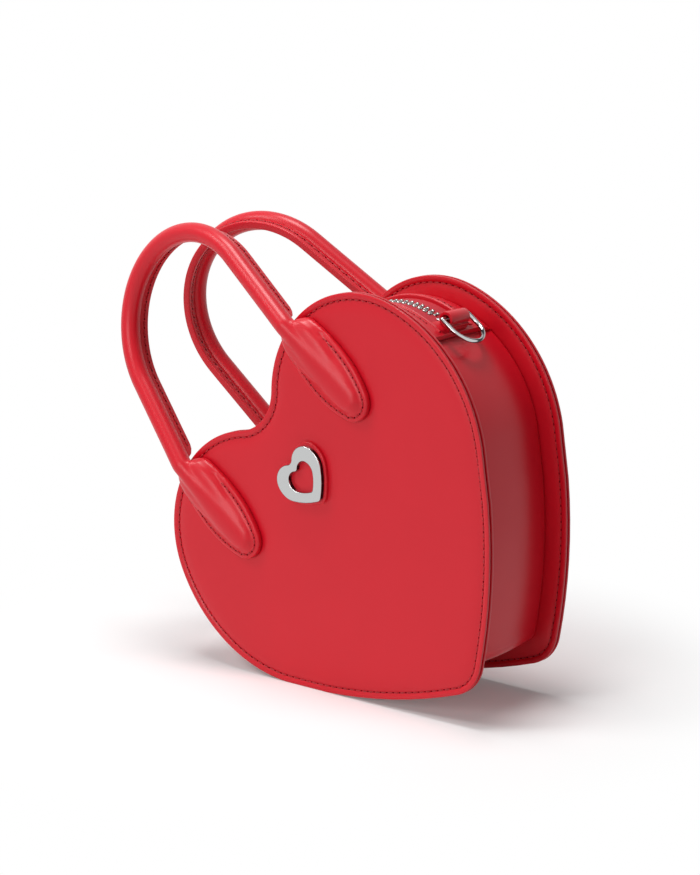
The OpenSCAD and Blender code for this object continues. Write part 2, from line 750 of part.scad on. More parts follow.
// A ring of the roll at a station, as big as a share of its radius. Its lip stands towards the
// middle of the bag, from nothing at 0 to its full reach at 1.
function round_ring(s, r, share, lip) =
    let (gap = asin(lip_t / 2 / handle_r))
    [
        for (k = [0:roll_steps])
            let (a = quarter + gap + 2 * (half_turn - gap) * k / roll_steps)
            let (p = inside(s, share * r * cos(a))) [p.x, share * r * sin(a), p.y],
        for (side = [1, -1])
            let (y = share * r * cos(gap / 2) + lip * (lip_reach - r * cos(gap / 2)))
            let (p = inside(s, side * share * lip_t * (1 + lip) / 4)) [p.x, y, p.y]
    ];

// The round end of a roll below its neck, ring by ring towards the neck
function end_rings(side, r) = [
    for (k = [1:ball_steps]) let (a = quarter * (1 - k / (ball_steps + 1)))
        round_ring(leg_station(side, -r * sin(a)), r, cos(a), 0)
];
function reversed(list) = [for (i = [len(list) - 1:-1:0]) list[i]];

module handle_roll(r, lip) {
    function leg_rings(side) = [
        each end_rings(side, r),
        round_ring(leg_station(side, 0), r, 1, 0),
        round_ring(leg_station(side, lip_start), r, 1, 0),
        round_ring(leg_station(side, lip_start + lip_t), r, 1, lip)
    ];
    skinned([
        each leg_rings(-1), for (s = arch_stations) round_ring(s, r, 1, lip), each reversed(leg_rings(1))
    ]);
}

module handle_leather() {
    handle_plane() difference() {
        handle_roll(handle_r, 1);
        handle_roll(core_r, 0);
    }
}

module handle_core() {
    handle_plane() handle_roll(core_r - snug_gap, 0);
}

module front_handle_leather() {
    color(red_leather) lying() handle_leather();
}

module front_handle_core() {
    color(core_white) lying() handle_core();
}

module back_handle_leather() {
    color(red_leather) lying() mirror([0, 1, 0]) handle_leather();
}

module back_handle_core() {
    color(core_white) lying() mirror([0, 1, 0]) handle_core();
}

// Handle tabs, drawn on the front panel with the neck at the origin of (across, up)
module at_neck(side) {
    translate([handle_shift + side * handle_span / 2, 0, neck_v]) children();
}

// The roll sinks from the neck until its top is level with the padded middle.
module sunk_roll() {
    sink = neck_stand + handle_r - tab_rim_t - tab_crown;
    intersection() {
        translate([0, -neck_y, 0]) rotate([half_turn + atan2(sink, tab_sink), 0, 0])
            cylinder(h = norm([tab_sink, sink]), r = handle_r, $fn = small_fn);
        translate([-tab_half, -neck_y - handle_r, -tab_len]) cube([tab_w, neck_stand + handle_r, tab_len]);
    }
}

// Room for the end of the roll as the handle swings outwards.
module swing_room() {
    swing_r = handle_r + soft_gap;
    translate([0, -neck_y, 0]) sphere(r = swing_r, $fn = round_fn);
    translate([-swing_r, -neck_y - 2 * handle_r, -swing_share * handle_r - soft_gap])
        cube([2 * swing_r, 2 * handle_r + neck_stand + overrun, tab_len]);
}

module tab() {
    rim_y = -half_depth - tab_rim_t;
    difference() {
        union() {
            sheet(rim_y, -half_depth) polygon(tab_outline(0));
            skinned([
                for (q = crown_edge) [for (p = tab_outline(q.x)) [p.x, rim_y - q.y, p.y]]
            ]);
            sunk_roll();
        }
        swing_room();
        sheet(-half_depth - tab_filler_t, -half_depth + overrun) polygon(tab_outline(pocket_inset));
    }
}

module front_left_tab() {
    color(red_leather) lying() at_neck(-1) tab();
}

module front_right_tab() {
    color(red_leather) lying() at_neck(1) tab();
}

module back_left_tab() {
    color(red_leather) lying() mirror([0, 1, 0]) at_neck(-1) tab();
}

module back_right_tab() {
    color(red_leather) lying() mirror([0, 1, 0]) at_neck(1) tab();
}

module tab_fillers() {
    for (side = [-1, 1]) at_neck(side)
        sheet(-half_depth - tab_filler_t, -half_depth) polygon(tab_outline(pocket_inset + snug_gap));
}

module front_tab_fillers() {
    color(board_brown) lying() tab_fillers();
}

module back_tab_fillers() {
    color(board_brown) lying() mirror([0, 1, 0]) tab_fillers();
}

// Ornament: an open metal heart with two studs, on a padded leather heart
module small_heart(w) {
    translate([0, ornament_v]) scale(w / heart_w) translate([0, -heart_middle_v]) heart(0);
}

module ornament() {
    base_y = -half_depth - ornament_base_t;
    stud_end = -half_inner + washer_t;
    color(chrome) lying() {
        difference() {
            sheet(base_y - ornament_h, base_y) small_heart(ornament_w);
            sheet(base_y - ornament_h - overrun, base_y + overrun) small_heart(ornament_open_w);
        }
        for (side = [-1, 1]) translate([side * stud_x, stud_end, stud_v]) rotate([quarter, 0, 0])
            cylinder(h = stud_end - base_y + ornament_h / 2, r = stud_d / 2, $fn = small_fn);
    }
}

module ornament_base() {
    color(dark_leather) lying() difference() {
        sheet(-half_depth - ornament_base_t, -half_depth) small_heart(ornament_w + ornament_base_extra);
        stud_holes();
    }
}

module ornament_washers() {
    color(chrome) lying() for (side = [-1, 1])
        translate([side * stud_x, -half_inner + washer_t / 2, stud_v]) difference() {
            pin(washer_t, washer_d / 2, small_fn);
            pin(washer_t + overrun, stud_d / 2 + snug_gap, small_fn);
        }
}

// Lining: two hearts against the turned seams, joined by a gusset that rises to the zip tape
module lining_front() {
    color(textile_red) lying() sheet(-seam_y, -lining_y) heart(lining_level);
}

module lining_back() {
    color(textile_red) lying() sheet(lining_y, seam_y) heart(lining_level);
}

under_tape = tape_level + tape_t;
module lining_gusset() {
    low = lining_level + lining_t;
    color(textile_red) lying() swept(lower, [
        [lining_level, lining_y], [lining_level, -lining_y], [low, -lining_y], [low, lining_y]
    ]);
}

module lining_strips() {
    mouth_y = lining_mouth_w / 2;
    color(textile_red) lying() for (side = [0, 1]) mirror([0, side, 0]) swept(upper, [
        [lining_level, lining_y], [under_tape, tape_y], [under_tape, mouth_y],
        [under_tape + lining_t, mouth_y], [under_tape + lining_t, tape_y],
        [lining_level + lining_t, lining_y]
    ]);
}

module lining_ends() {
    foot = -lining_level - lining_t - snug_gap;
    foot_y = lining_y - snug_gap;
    top = -under_tape - lining_t - snug_gap;
    top_y = tape_y - snug_gap;
    color(textile_red) lying() for (side = [0, 1]) mirror([side, 0, 0])
        at_place(zip_end, zip_end_heading) translate([-lining_t, 0, 0]) along(lining_t)
            polygon([[foot_y, foot], [-foot_y, foot], [-top_y, top], [top_y, top]]);
}

front_panel_leather();
front_panel_board();
front_panel_facing();
back_panel_leather();
back_panel_board();
back_panel_facing();
gusset_band();
gusset_strip_front();
gusset_strip_back();
left_zip_end();
right_zip_end();
zip_tape();
zip_teeth();
zip_stops();
zip_slider();
zip_puller();
left_ring_tab();
right_ring_tab();
left_d_ring();
right_d_ring();
front_handle_leather();
front_handle_core();
back_handle_leather();
back_handle_core();
front_left_tab();
front_right_tab();
back_left_tab();
back_right_tab();
front_tab_fillers();
back_tab_fillers();
ornament();
ornament_base();
ornament_washers();
lining_front();
lining_back();
lining_gusset();
lining_strips();
lining_ends();
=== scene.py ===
"""The looks of a heart shaped leather handbag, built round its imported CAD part.

Lengths are metres. The heart is drawn upright, in X across, Y through the depth and Z up, with its front
at -Y, and every mesh is then laid on its flank, where the CAD part lies.
"""

import math
from typing import NamedTuple

import bmesh
import bpy
from bpy.props import FloatProperty, FloatVectorProperty, PointerProperty
from mathutils import Matrix, Vector


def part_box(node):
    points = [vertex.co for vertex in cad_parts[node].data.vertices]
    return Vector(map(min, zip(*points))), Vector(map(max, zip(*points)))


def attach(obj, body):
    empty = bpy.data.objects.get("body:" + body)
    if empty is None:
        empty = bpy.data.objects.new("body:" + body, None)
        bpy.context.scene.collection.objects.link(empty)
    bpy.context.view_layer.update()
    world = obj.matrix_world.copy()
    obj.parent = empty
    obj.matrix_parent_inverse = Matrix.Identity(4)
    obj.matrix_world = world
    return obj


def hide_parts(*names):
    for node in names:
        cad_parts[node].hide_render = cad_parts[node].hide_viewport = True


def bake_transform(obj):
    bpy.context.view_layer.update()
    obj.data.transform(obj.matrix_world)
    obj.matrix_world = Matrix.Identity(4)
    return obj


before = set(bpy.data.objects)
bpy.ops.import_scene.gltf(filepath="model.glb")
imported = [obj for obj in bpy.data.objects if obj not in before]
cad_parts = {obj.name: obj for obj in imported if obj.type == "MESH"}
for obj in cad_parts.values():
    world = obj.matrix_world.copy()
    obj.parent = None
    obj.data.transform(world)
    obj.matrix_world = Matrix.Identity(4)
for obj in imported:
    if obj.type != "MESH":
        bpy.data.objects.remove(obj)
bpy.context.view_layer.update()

bl_info = {
    "name": "Heart handbag",
    "version": (1, 0, 0),
    "blender": (4, 5, 0),
    "location": "View3D > Sidebar > Handbag",
    "description": "Dresses the CAD part of a heart shaped handbag in leather, thread, chrome and cloth",
    "category": "Object",
}

MM = 0.001
QUARTER = math.pi / 2
# After how far a wave texture of scale 1 repeats, along an axis and with diagonal bands.
WAVE_RUN = 0.314
DIAGONAL_RUN = 0.63


# Colours and materials


def linear(hex_colour):
    """A colour written as sRGB hex, as linear RGBA."""
    parts = [int(hex_colour[i : i + 2], 16) / 255 for i in (1, 3, 5)]
    return (*[c / 12.92 if c <= 0.04045 else ((c + 0.055) / 1.055) ** 2.4 for c in parts], 1.0)


def add_node(tree, kind, settings=None, inputs=None):
    """Adds a node with its settings. An input is a value, or an output socket to link."""
    made = tree.nodes.new(kind)
    for name, value in (settings or {}).items():
        setattr(made, name, value)
    for name, value in (inputs or {}).items():
        if isinstance(value, bpy.types.NodeSocket):
            tree.links.new(value, made.inputs[name])
        else:
            made.inputs[name].default_value = value
    return made


def new_material(name):
    """An empty material, and its node tree."""
    material = bpy.data.materials.new(name)
    material.use_nodes = True
    material.node_tree.nodes.clear()
    return material, material.node_tree


def finish_shader(tree, surface):
    """Shows a shader as the material's surface."""
    add_node(tree, "ShaderNodeOutputMaterial", None, {"Surface": surface})


def mixed_colour(tree, factor, first, second):
    """A blend of two colours by a factor."""
    mix = add_node(tree, "ShaderNodeMix", {"data_type": "RGBA"}, {0: factor, 6: first, 7: second})
    return mix.outputs[2]


def shade_range(tree, value, low, high):
    """A pattern's 0 to 1 as a narrower range."""
    ranged = add_node(tree, "ShaderNodeMapRange", None, {"Value": value, "To Min": low, "To Max": high})
    return ranged.outputs["Result"]


def smooth_leather(name, colour, deep_colour):
    """Coated split leather, pressed smooth: a soft sheen over a grain too fine to see from a step away.

    The broad noise gives the slight mottling of a dyed hide, and the cells and the fine noise its grain
    and pores, drawn 0.7 and 0.35 mm wide, which is coarser than real so that they show.
    """
    material, tree = new_material(name)
    place = add_node(tree, "ShaderNodeTexCoord").outputs["Object"]
    mottle = add_node(
        tree, "ShaderNodeTexNoise", None, {"Vector": place, "Scale": 1 / (22.2 * MM), "Detail": 3.0}
    )
    grain = add_node(
        tree, "ShaderNodeTexVoronoi", {"feature": "SMOOTH_F1"}, {"Vector": place, "Scale": 1 / (0.7 * MM)}
    )
    pores = add_node(tree, "ShaderNodeTexNoise", None, {"Vector": place, "Scale": 1 / (0.35 * MM)})
    shade = shade_range(tree, mottle.outputs["Fac"], 0.0, 0.35)
    base = mixed_colour(tree, shade, colour, deep_colour)
    rough = shade_range(tree, mottle.outputs["Fac"], 0.31, 0.42)
    soft = add_node(
        tree,
        "ShaderNodeBump",
        None,
        {"Height": grain.outputs["Distance"], "Strength": 0.1, "Distance": 0.04 * MM},
    )
    fine = add_node(
        tree,
        "ShaderNodeBump",
        None,
        {
            "Height": pores.outputs["Fac"],
            "Strength": 0.12,
            "Distance": 0.02 * MM,
            "Normal": soft.outputs["Normal"],
        },
    )
    shader = add_node(
        tree,
        "ShaderNodeBsdfPrincipled",
        None,
        {
            "Base Color": base,
            "Roughness": rough,
            "IOR": 1.45,
            "Specular IOR Level": 0.36,
            "Coat Weight": 0.1,
            "Coat Roughness": 0.25,
            "Normal": fine.outputs["Normal"],
        },
    )
    finish_shader(tree, shader.outputs["BSDF"])
    return material


def edge_paint(name, colour):
    """Acrylic edge paint, brushed over a cut leather edge: thicker, smoother and glossier than the hide."""
    material, tree = new_material(name)
    place = add_node(tree, "ShaderNodeTexCoord").outputs["Object"]
    waves = add_node(
        tree, "ShaderNodeTexNoise", None, {"Vector": place, "Scale": 1 / (2.86 * MM), "Detail": 2.0}
    )
    bump = add_node(
        tree,
        "ShaderNodeBump",
        None,
        {"Height": waves.outputs["Fac"], "Strength": 0.25, "Distance": 0.1 * MM},
    )
    shader = add_node(
        tree,
        "ShaderNodeBsdfPrincipled",
        None,
        {
            "Base Color": colour,
            "Roughness": shade_range(tree, waves.outputs["Fac"], 0.26, 0.36),
            "IOR": 1.49,
            "Normal": bump.outputs["Normal"],
        },
    )
    finish_shader(tree, shader.outputs["BSDF"])
    return material


def sewing_thread(name, colour, deep_colour, shine=0.5):
    """Bonded polyester thread: a satin cord whose twist darkens in bands, drawn about 1 mm apart.

    Dark and without shine, it stands for the shade of a needle hole.
    """
    material, tree = new_material(name)
    place = add_node(tree, "ShaderNodeTexCoord").outputs["Object"]
    twist = add_node(
        tree,
        "ShaderNodeTexWave",
        {"bands_direction": "DIAGONAL"},
        {"Vector": place, "Scale": DIAGONAL_RUN / (1.05 * MM), "Distortion": 1.0},
    )
    shader = add_node(
        tree,
        "ShaderNodeBsdfPrincipled",
        None,
        {
            "Base Color": mixed_colour(tree, twist.outputs["Fac"], deep_colour, colour),
            "Roughness": 0.5,
            "IOR": 1.5,
            "Specular IOR Level": shine,
        },
    )
    finish_shader(tree, shader.outputs["BSDF"])
    return material


def polished_metal(name, colour, deep_colour):
    """Cast zinc alloy, polished and plated: a mirror with the faint haze of handling.

    Its sides darken in a band where the surface turns from the eye: a painted reflection of dark
    surroundings, as bright round metal shows among them, which a plain white room lacks.
    """
    material, tree = new_material(name)
    place = add_node(tree, "ShaderNodeTexCoord").outputs["Object"]
    haze = add_node(
        tree, "ShaderNodeTexNoise", None, {"Vector": place, "Scale": 1 / (2.5 * MM), "Detail": 3.0}
    )
    # Painted reflection: the colour turns to the deep colour in a band where the surface turns from the
    # eye.
    turned = add_node(tree, "ShaderNodeLayerWeight", None, {"Blend": 0.5}).outputs["Facing"]
    band = add_node(tree, "ShaderNodeValToRGB", None, {"Fac": turned})
    for place_along, level in ((0.29, 0.0), (0.34, 1.0), (0.47, 1.0), (0.58, 0.15)):
        band.color_ramp.elements.new(place_along).color = (level, level, level, 1)
    band.color_ramp.elements[-1].color = (0, 0, 0, 1)
    shade = mixed_colour(tree, band.outputs["Color"], colour, deep_colour)
    shader = add_node(
        tree,
        "ShaderNodeBsdfPrincipled",
        None,
        {
            "Base Color": shade,
            "Metallic": 1.0,
            "Roughness": shade_range(tree, haze.outputs["Fac"], 0.05, 0.13),
        },
    )
    finish_shader(tree, shader.outputs["BSDF"])
    return material


def woven_cloth(name, colour, deep_colour, spacing):
    """Woven polyester: a matt cloth of two sets of threads that cross, a spacing in millimetres apart.

    The pattern follows the piece's own "weave" attribute, which runs along and across the cloth. It is
    drawn coarser than real, so that it shows.
    """
    material, tree = new_material(name)
    along = add_node(tree, "ShaderNodeAttribute", {"attribute_name": "weave"}).outputs["Vector"]
    ribs = [
        add_node(
            tree,
            "ShaderNodeTexWave",
            {"bands_direction": direction},
            {"Vector": along, "Scale": WAVE_RUN / (spacing * MM)},
        )
        for direction in ("X", "Y")
    ]
    product = add_node(
        tree,
        "ShaderNodeMath",
        {"operation": "MULTIPLY"},
        {0: ribs[0].outputs["Fac"], 1: ribs[1].outputs["Fac"]},
    )
    cross = product.outputs[0]
    bump = add_node(
        tree, "ShaderNodeBump", None, {"Height": cross, "Strength": 0.5, "Distance": 0.15 * MM}
    )
    shader = add_node(
        tree,
        "ShaderNodeBsdfPrincipled",
        None,
        {
            "Base Color": mixed_colour(tree, cross, deep_colour, colour),
            "Roughness": 0.75,
            "Sheen Weight": 0.08,
            "Sheen Roughness": 0.4,
            "Normal": bump.outputs["Normal"],
        },
    )
    finish_shader(tree, shader.outputs["BSDF"])
    return material


def pressed_board(name, colour, deep_colour):
    """Pressed fibreboard or felted cord: matt, flecked with fibres 1.5 mm long."""
    material, tree = new_material(name)
    place = add_node(tree, "ShaderNodeTexCoord").outputs["Object"]
    fibres = add_node(
        tree, "ShaderNodeTexNoise", None, {"Vector": place, "Scale": 1 / (1.5 * MM), "Detail": 6.0}
    )
    shader = add_node(
        tree,
        "ShaderNodeBsdfPrincipled",
        None,
        {
            "Base Color": mixed_colour(tree, fibres.outputs["Fac"], colour, deep_colour),
            "Roughness": 0.85,
        },
    )
    finish_shader(tree, shader.outputs["BSDF"])
    return material


# Sizes and colours that a user would change


class OutlineSizes(bpy.types.PropertyGroup):
    """The heart's outline, as arcs that touch."""

    dip_radius: FloatProperty(
        name="Dip radius",
        description="Radius of the dip between the lobes",
        default=20.5 * MM,
        unit="LENGTH",
    )
    dip_turn: FloatProperty(
        name="Dip turn", description="Turn of half the dip", default=math.radians(40), unit="ROTATION"
    )
    lobe_radius: FloatProperty(
        name="Lobe radius", description="Radius of each lobe", default=48.8 * MM, unit="LENGTH"
    )
    lobe_turn: FloatProperty(
        name="Lobe turn", description="Turn of each lobe", default=math.radians(107), unit="ROTATION"
    )
    shoulder_radius: FloatProperty(
        name="Shoulder radius", description="Radius below each lobe", default=72 * MM, unit="LENGTH"
    )
    shoulder_turn: FloatProperty(
        name="Shoulder turn",
        description="Turn of each shoulder",
        default=math.radians(61),
        unit="ROTATION",
    )
    flank_turn: FloatProperty(
        name="Flank turn",
        description="Turn of each long flank",
        default=math.radians(22),
        unit="ROTATION",
    )
    tip_radius: FloatProperty(
        name="Tip radius", description="Radius of the heart's tip", default=17.5 * MM, unit="LENGTH"
    )


class PanelSizes(bpy.types.PropertyGroup):
    """The two heart panels and the seams round them."""

    depth: FloatProperty(
        name="Depth", description="Depth of the bag over both panels", default=59 * MM, unit="LENGTH"
    )
    thickness: FloatProperty(
        name="Thickness", description="Thickness of a whole panel", default=3.5 * MM, unit="LENGTH"
    )
    leather: FloatProperty(
        name="Leather", description="Thickness of a panel's leathers", default=1.2 * MM, unit="LENGTH"
    )
    stitch_inset: FloatProperty(
        name="Stitch inset",
        description="From a panel's edge to its stitches",
        default=3 * MM,
        unit="LENGTH",
    )
    stitch_pitch: FloatProperty(
        name="Stitch pitch",
        description="Distance between two stitches",
        default=3.5 * MM,
        unit="LENGTH",
    )
    thread: FloatProperty(
        name="Thread", description="Diameter of the sewing thread", default=0.8 * MM, unit="LENGTH"
    )


class GussetSizes(bpy.types.PropertyGroup):
    """The gusset between the panels, with the window of the zip."""

    inset: FloatProperty(
        name="Inset", description="From a panel's edge to the gusset", default=10.5 * MM, unit="LENGTH"
    )
    leather: FloatProperty(
        name="Leather", description="Thickness of the gusset's leather", default=1.3 * MM, unit="LENGTH"
    )
    seam: FloatProperty(
        name="Seam", description="Width of the seams turned inwards", default=4 * MM, unit="LENGTH"
    )
    band_rise: FloatProperty(
        name="Band rise", description="Bulge of the lower gusset", default=1.5 * MM, unit="LENGTH"
    )
    zip_rise: FloatProperty(
        name="Zip rise", description="Height of the zip gusset's borders", default=4 * MM, unit="LENGTH"
    )
    window: FloatProperty(
        name="Window",
        description="Width between the strips beside the zip",
        default=20 * MM,
        unit="LENGTH",
    )
    border: FloatProperty(
        name="Border", description="Width of each strip's flat border", default=4.5 * MM, unit="LENGTH"
    )
    fold_width: FloatProperty(
        name="Fold width",
        description="Width of each strip's folded edge",
        default=1.6 * MM,
        unit="LENGTH",
    )
    fold_height: FloatProperty(
        name="Fold height", description="Height of that folded edge", default=0.6 * MM, unit="LENGTH"
    )
    patch_heading: FloatProperty(
        name="Patch",
        description="Heading where an end patch starts",
        default=math.radians(-76),
        unit="ROTATION",
    )
    end_heading: FloatProperty(
        name="End",
        description="Heading where the zip gusset ends",
        default=math.radians(-81.8),
        unit="ROTATION",
    )
    end_fold: FloatProperty(
        name="End fold", description="Thickness of the folded end", default=2.4 * MM, unit="LENGTH"
    )


class ZipSizes(bpy.types.PropertyGroup):
    """The zip's tape and teeth."""

    tape: FloatProperty(name="Tape", description="Thickness of the tape", default=0.7 * MM, unit="LENGTH")
    pitch: FloatProperty(
        name="Pitch",
        description="Distance between two teeth of one side",
        default=2.8 * MM,
        unit="LENGTH",
    )
    chain: FloatProperty(
        name="Chain", description="Width of the closed chain", default=5.6 * MM, unit="LENGTH"
    )
    tooth_height: FloatProperty(
        name="Tooth height", description="Height of a tooth", default=2.2 * MM, unit="LENGTH"
    )
    tooth: FloatProperty(
        name="Tooth",
        description="Thickness of a tooth along the chain",
        default=1.15 * MM,
        unit="LENGTH",
    )
    grip: FloatProperty(
        name="Grip", description="How deep a tooth clasps the tape", default=1.2 * MM, unit="LENGTH"
    )
    last_heading: FloatProperty(
        name="Last tooth",
        description="Heading at the last tooth",
        default=math.radians(-73),
        unit="ROTATION",
    )


class RingSizes(bpy.types.PropertyGroup):
    """The leather loops that hold the D rings."""

    heading: FloatProperty(
        name="Heading", description="Heading at a ring's bar", default=math.radians(-79.5), unit="ROTATION"
    )
    loop_width: FloatProperty(
        name="Loop width", description="Width of a leather loop", default=12.6 * MM, unit="LENGTH"
    )
    loop_foot: FloatProperty(
        name="Loop foot",
        description="From a ring's bar to its loop's end",
        default=3.9 * MM,
        unit="LENGTH",
    )
    loop_leather: FloatProperty(
        name="Loop leather",
        description="Thickness of a loop's leather",
        default=1.4 * MM,
        unit="LENGTH",
    )


class HandleSizes(bpy.types.PropertyGroup):
    """The rolled handles."""

    diameter: FloatProperty(
        name="Diameter", description="Diameter of the roll", default=8.7 * MM, unit="LENGTH"
    )
    span: FloatProperty(
        name="Span",
        description="Distance between a handle's necks",
        default=92.6 * MM,
        unit="LENGTH",
    )
    height: FloatProperty(
        name="Height",
        description="Height of the middle line over the necks",
        default=82.6 * MM,
        unit="LENGTH",
    )
    arch: FloatProperty(name="Arch", description="Radius of the arch", default=42 * MM, unit="LENGTH")
    lean: FloatProperty(
        name="Lean", description="Lean towards the bag's middle", default=math.radians(10), unit="ROTATION"
    )
    shift: FloatProperty(
        name="Shift",
        description="Offset from the heart's middle line",
        default=-1.2 * MM,
        unit="LENGTH",
    )
    lip_reach: FloatProperty(
        name="Lip reach",
        description="From the roll's middle to its lip's edge",
        default=9 * MM,
        unit="LENGTH",
    )
    lip: FloatProperty(name="Lip", description="Thickness of the sewn lip", default=3.6 * MM, unit="LENGTH")
    lip_start: FloatProperty(
        name="Lip start",
        description="From a neck to the start of the lip",
        default=3.5 * MM,
        unit="LENGTH",
    )
    neck_drop: FloatProperty(
        name="Neck drop",
        description="From the lobes' tops down to the necks",
        default=1.2 * MM,
        unit="LENGTH",
    )
    neck_stand: FloatProperty(
        name="Neck stand",
        description="From a panel's face to a neck's middle",
        default=5.4 * MM,
        unit="LENGTH",
    )


class TabSizes(bpy.types.PropertyGroup):
    """The padded tabs that sew the handles to the panels."""

    length: FloatProperty(
        name="Length", description="Length below the neck", default=53 * MM, unit="LENGTH"
    )
    width: FloatProperty(name="Width", description="Greatest width", default=25.5 * MM, unit="LENGTH")
    widest: FloatProperty(
        name="Widest",
        description="From the neck down to the widest place",
        default=26 * MM,
        unit="LENGTH",
    )
    top: FloatProperty(
        name="Top", description="From the neck down to the shoulders", default=1 * MM, unit="LENGTH"
    )
    shoulder: FloatProperty(
        name="Shoulder", description="Radius of the shoulders", default=8 * MM, unit="LENGTH"
    )
    top_half: FloatProperty(
        name="Top half", description="Half width of the straight top", default=3 * MM, unit="LENGTH"
    )
    end: FloatProperty(name="End", description="Radius of the lower end", default=9 * MM, unit="LENGTH")
    rim: FloatProperty(name="Rim", description="Thickness of the sewn rim", default=3 * MM, unit="LENGTH")
    rim_width: FloatProperty(
        name="Rim width", description="From the edge to the padding", default=3 * MM, unit="LENGTH"
    )
    crown: FloatProperty(
        name="Crown", description="Height of the padding over the rim", default=2.8 * MM, unit="LENGTH"
    )


class OrnamentSizes(bpy.types.PropertyGroup):
    """The small metal heart on the front."""

    width: FloatProperty(
        name="Base width", description="Width of the padded base", default=30 * MM, unit="LENGTH"
    )
    drop: FloatProperty(
        name="Drop", description="From the lobes' tops to the middle", default=50.5 * MM, unit="LENGTH"
    )
    base: FloatProperty(
        name="Base", description="Thickness of the padded base", default=1.6 * MM, unit="LENGTH"
    )


class Colours(bpy.types.PropertyGroup):
    """The colours of the handbag's materials."""

    leather: FloatVectorProperty(
        name="Leather",
        description="Dyed hide of the bag and its handles",
        size=4,
        subtype="COLOR",
        default=linear("#cb0d22"),
    )
    leather_deep: FloatVectorProperty(
        name="Deep leather",
        description="Mottling of the leather",
        size=4,
        subtype="COLOR",
        default=linear("#bb0a1d"),
    )
    edge: FloatVectorProperty(
        name="Edge paint",
        description="Painted edges",
        size=4,
        subtype="COLOR",
        default=linear("#b80c1d"),
    )
    thread: FloatVectorProperty(
        name="Thread",
        description="Sewing thread",
        size=4,
        subtype="COLOR",
        default=linear("#c00f20"),
    )
    thread_deep: FloatVectorProperty(
        name="Deep thread",
        description="Twist of the thread",
        size=4,
        subtype="COLOR",
        default=linear("#8a0914"),
    )
    chrome: FloatVectorProperty(
        name="Chrome",
        description="Metal parts",
        size=4,
        subtype="COLOR",
        default=linear("#c4c5c5"),
    )
    # Painted reflection: the dark band drawn on the metal parts and zip teeth where they turn from the eye.
    chrome_painted_reflection: FloatVectorProperty(
        name="Deep chrome",
        description="Dark band of the metal",
        size=4,
        subtype="COLOR",
        default=linear("#34363a"),
    )
    alloy: FloatVectorProperty(
        name="Alloy",
        description="Zip teeth",
        size=4,
        subtype="COLOR",
        default=linear("#b2b0ac"),
    )
    cloth: FloatVectorProperty(
        name="Cloth",
        description="Zip tape and lining",
        size=4,
        subtype="COLOR",
        default=linear("#cc1028"),
    )
    cloth_deep: FloatVectorProperty(
        name="Deep cloth",
        description="Gaps between the threads",
        size=4,
        subtype="COLOR",
        default=linear("#a80c20"),
    )


class HandbagSettings(bpy.types.PropertyGroup):
    """All sizes and colours."""

    outline: PointerProperty(type=OutlineSizes)
    panels: PointerProperty(type=PanelSizes)
    gusset: PointerProperty(type=GussetSizes)
    zip: PointerProperty(type=ZipSizes)
    rings: PointerProperty(type=RingSizes)
    handles: PointerProperty(type=HandleSizes)
    tabs: PointerProperty(type=TabSizes)
    ornament: PointerProperty(type=OrnamentSizes)
    colours: PointerProperty(type=Colours)


def settings():
    """The sizes and colours of the scene."""
    return bpy.context.scene.handbag


def inner_depth():
    """From the bag's middle to a panel's inner face."""
    p = settings().panels
    return p.depth / 2 - p.thickness


def border_level():
    """The inset of the flat borders beside the zip."""
    g = settings().gusset
    return g.inset - g.zip_rise


made_materials = {}


def material(name):
    """The handbag's materials by their plain names, each made when it is first asked for."""
    colours = settings().colours
    makers = {
        "smooth_leather": lambda: smooth_leather("smooth_leather", colours.leather, colours.leather_deep),
        "edge_paint": lambda: edge_paint("edge_paint", colours.edge),
        "sewing_thread": lambda: sewing_thread("sewing_thread", colours.thread, colours.thread_deep),
        # Both metals carry a painted reflection: a dark band in their deep colour where they turn from the
        # eye.
        "polished_chrome": lambda: polished_metal("polished_chrome", colours.chrome, colours.chrome_painted_reflection),
        "zip_alloy": lambda: polished_metal("zip_alloy", colours.alloy, colours.chrome_painted_reflection),
        # Painted shade: a dark, dull thread material for the ovals that stand for the shade in the needle
        # holes.
        "painted_hole_shade": lambda: sewing_thread("painted_hole_shade", linear("#6a0913"), linear("#4a0610"), 0.0),
        "zip_tape_weave": lambda: woven_cloth("zip_tape_weave", colours.cloth, colours.cloth_deep, 0.9),
        "lining_twill": lambda: woven_cloth("lining_twill", colours.cloth, colours.cloth_deep, 0.8),
        "fibreboard": lambda: pressed_board("fibreboard", linear("#9a1420"), linear("#7a0f19")),
        "handle_cord": lambda: pressed_board("handle_cord", linear("#e6e2da"), linear("#c9c3b8")),
    }
    if name not in made_materials:
        made_materials[name] = makers[name]()
    return made_materials[name]


# The thread, and the painted shade of the needle holes.
SEAM_MATERIALS = ["sewing_thread", "painted_hole_shade"]


# The heart's outline


class Arc(NamedTuple):
    """An arc of an outline, from a start to an end heading.

    Headings fall along a full arc and rise along a hollow one, whose radius is negative.
    """

    across: float
    up: float
    radius: float
    start: float
    end: float
    steps: int


def tangent_arcs(across, up, runs):
    """Arcs that touch each other, from a starting point. A run is (radius, first heading, last, steps)."""
    arcs = []
    for radius, start, end, steps in runs:
        centre_x = across + radius * math.sin(start)
        centre_z = up - radius * math.cos(start)
        arcs.append(Arc(centre_x, centre_z, radius, start, end, steps))
        across = centre_x - radius * math.sin(end)
        up = centre_z + radius * math.cos(end)
    return arcs


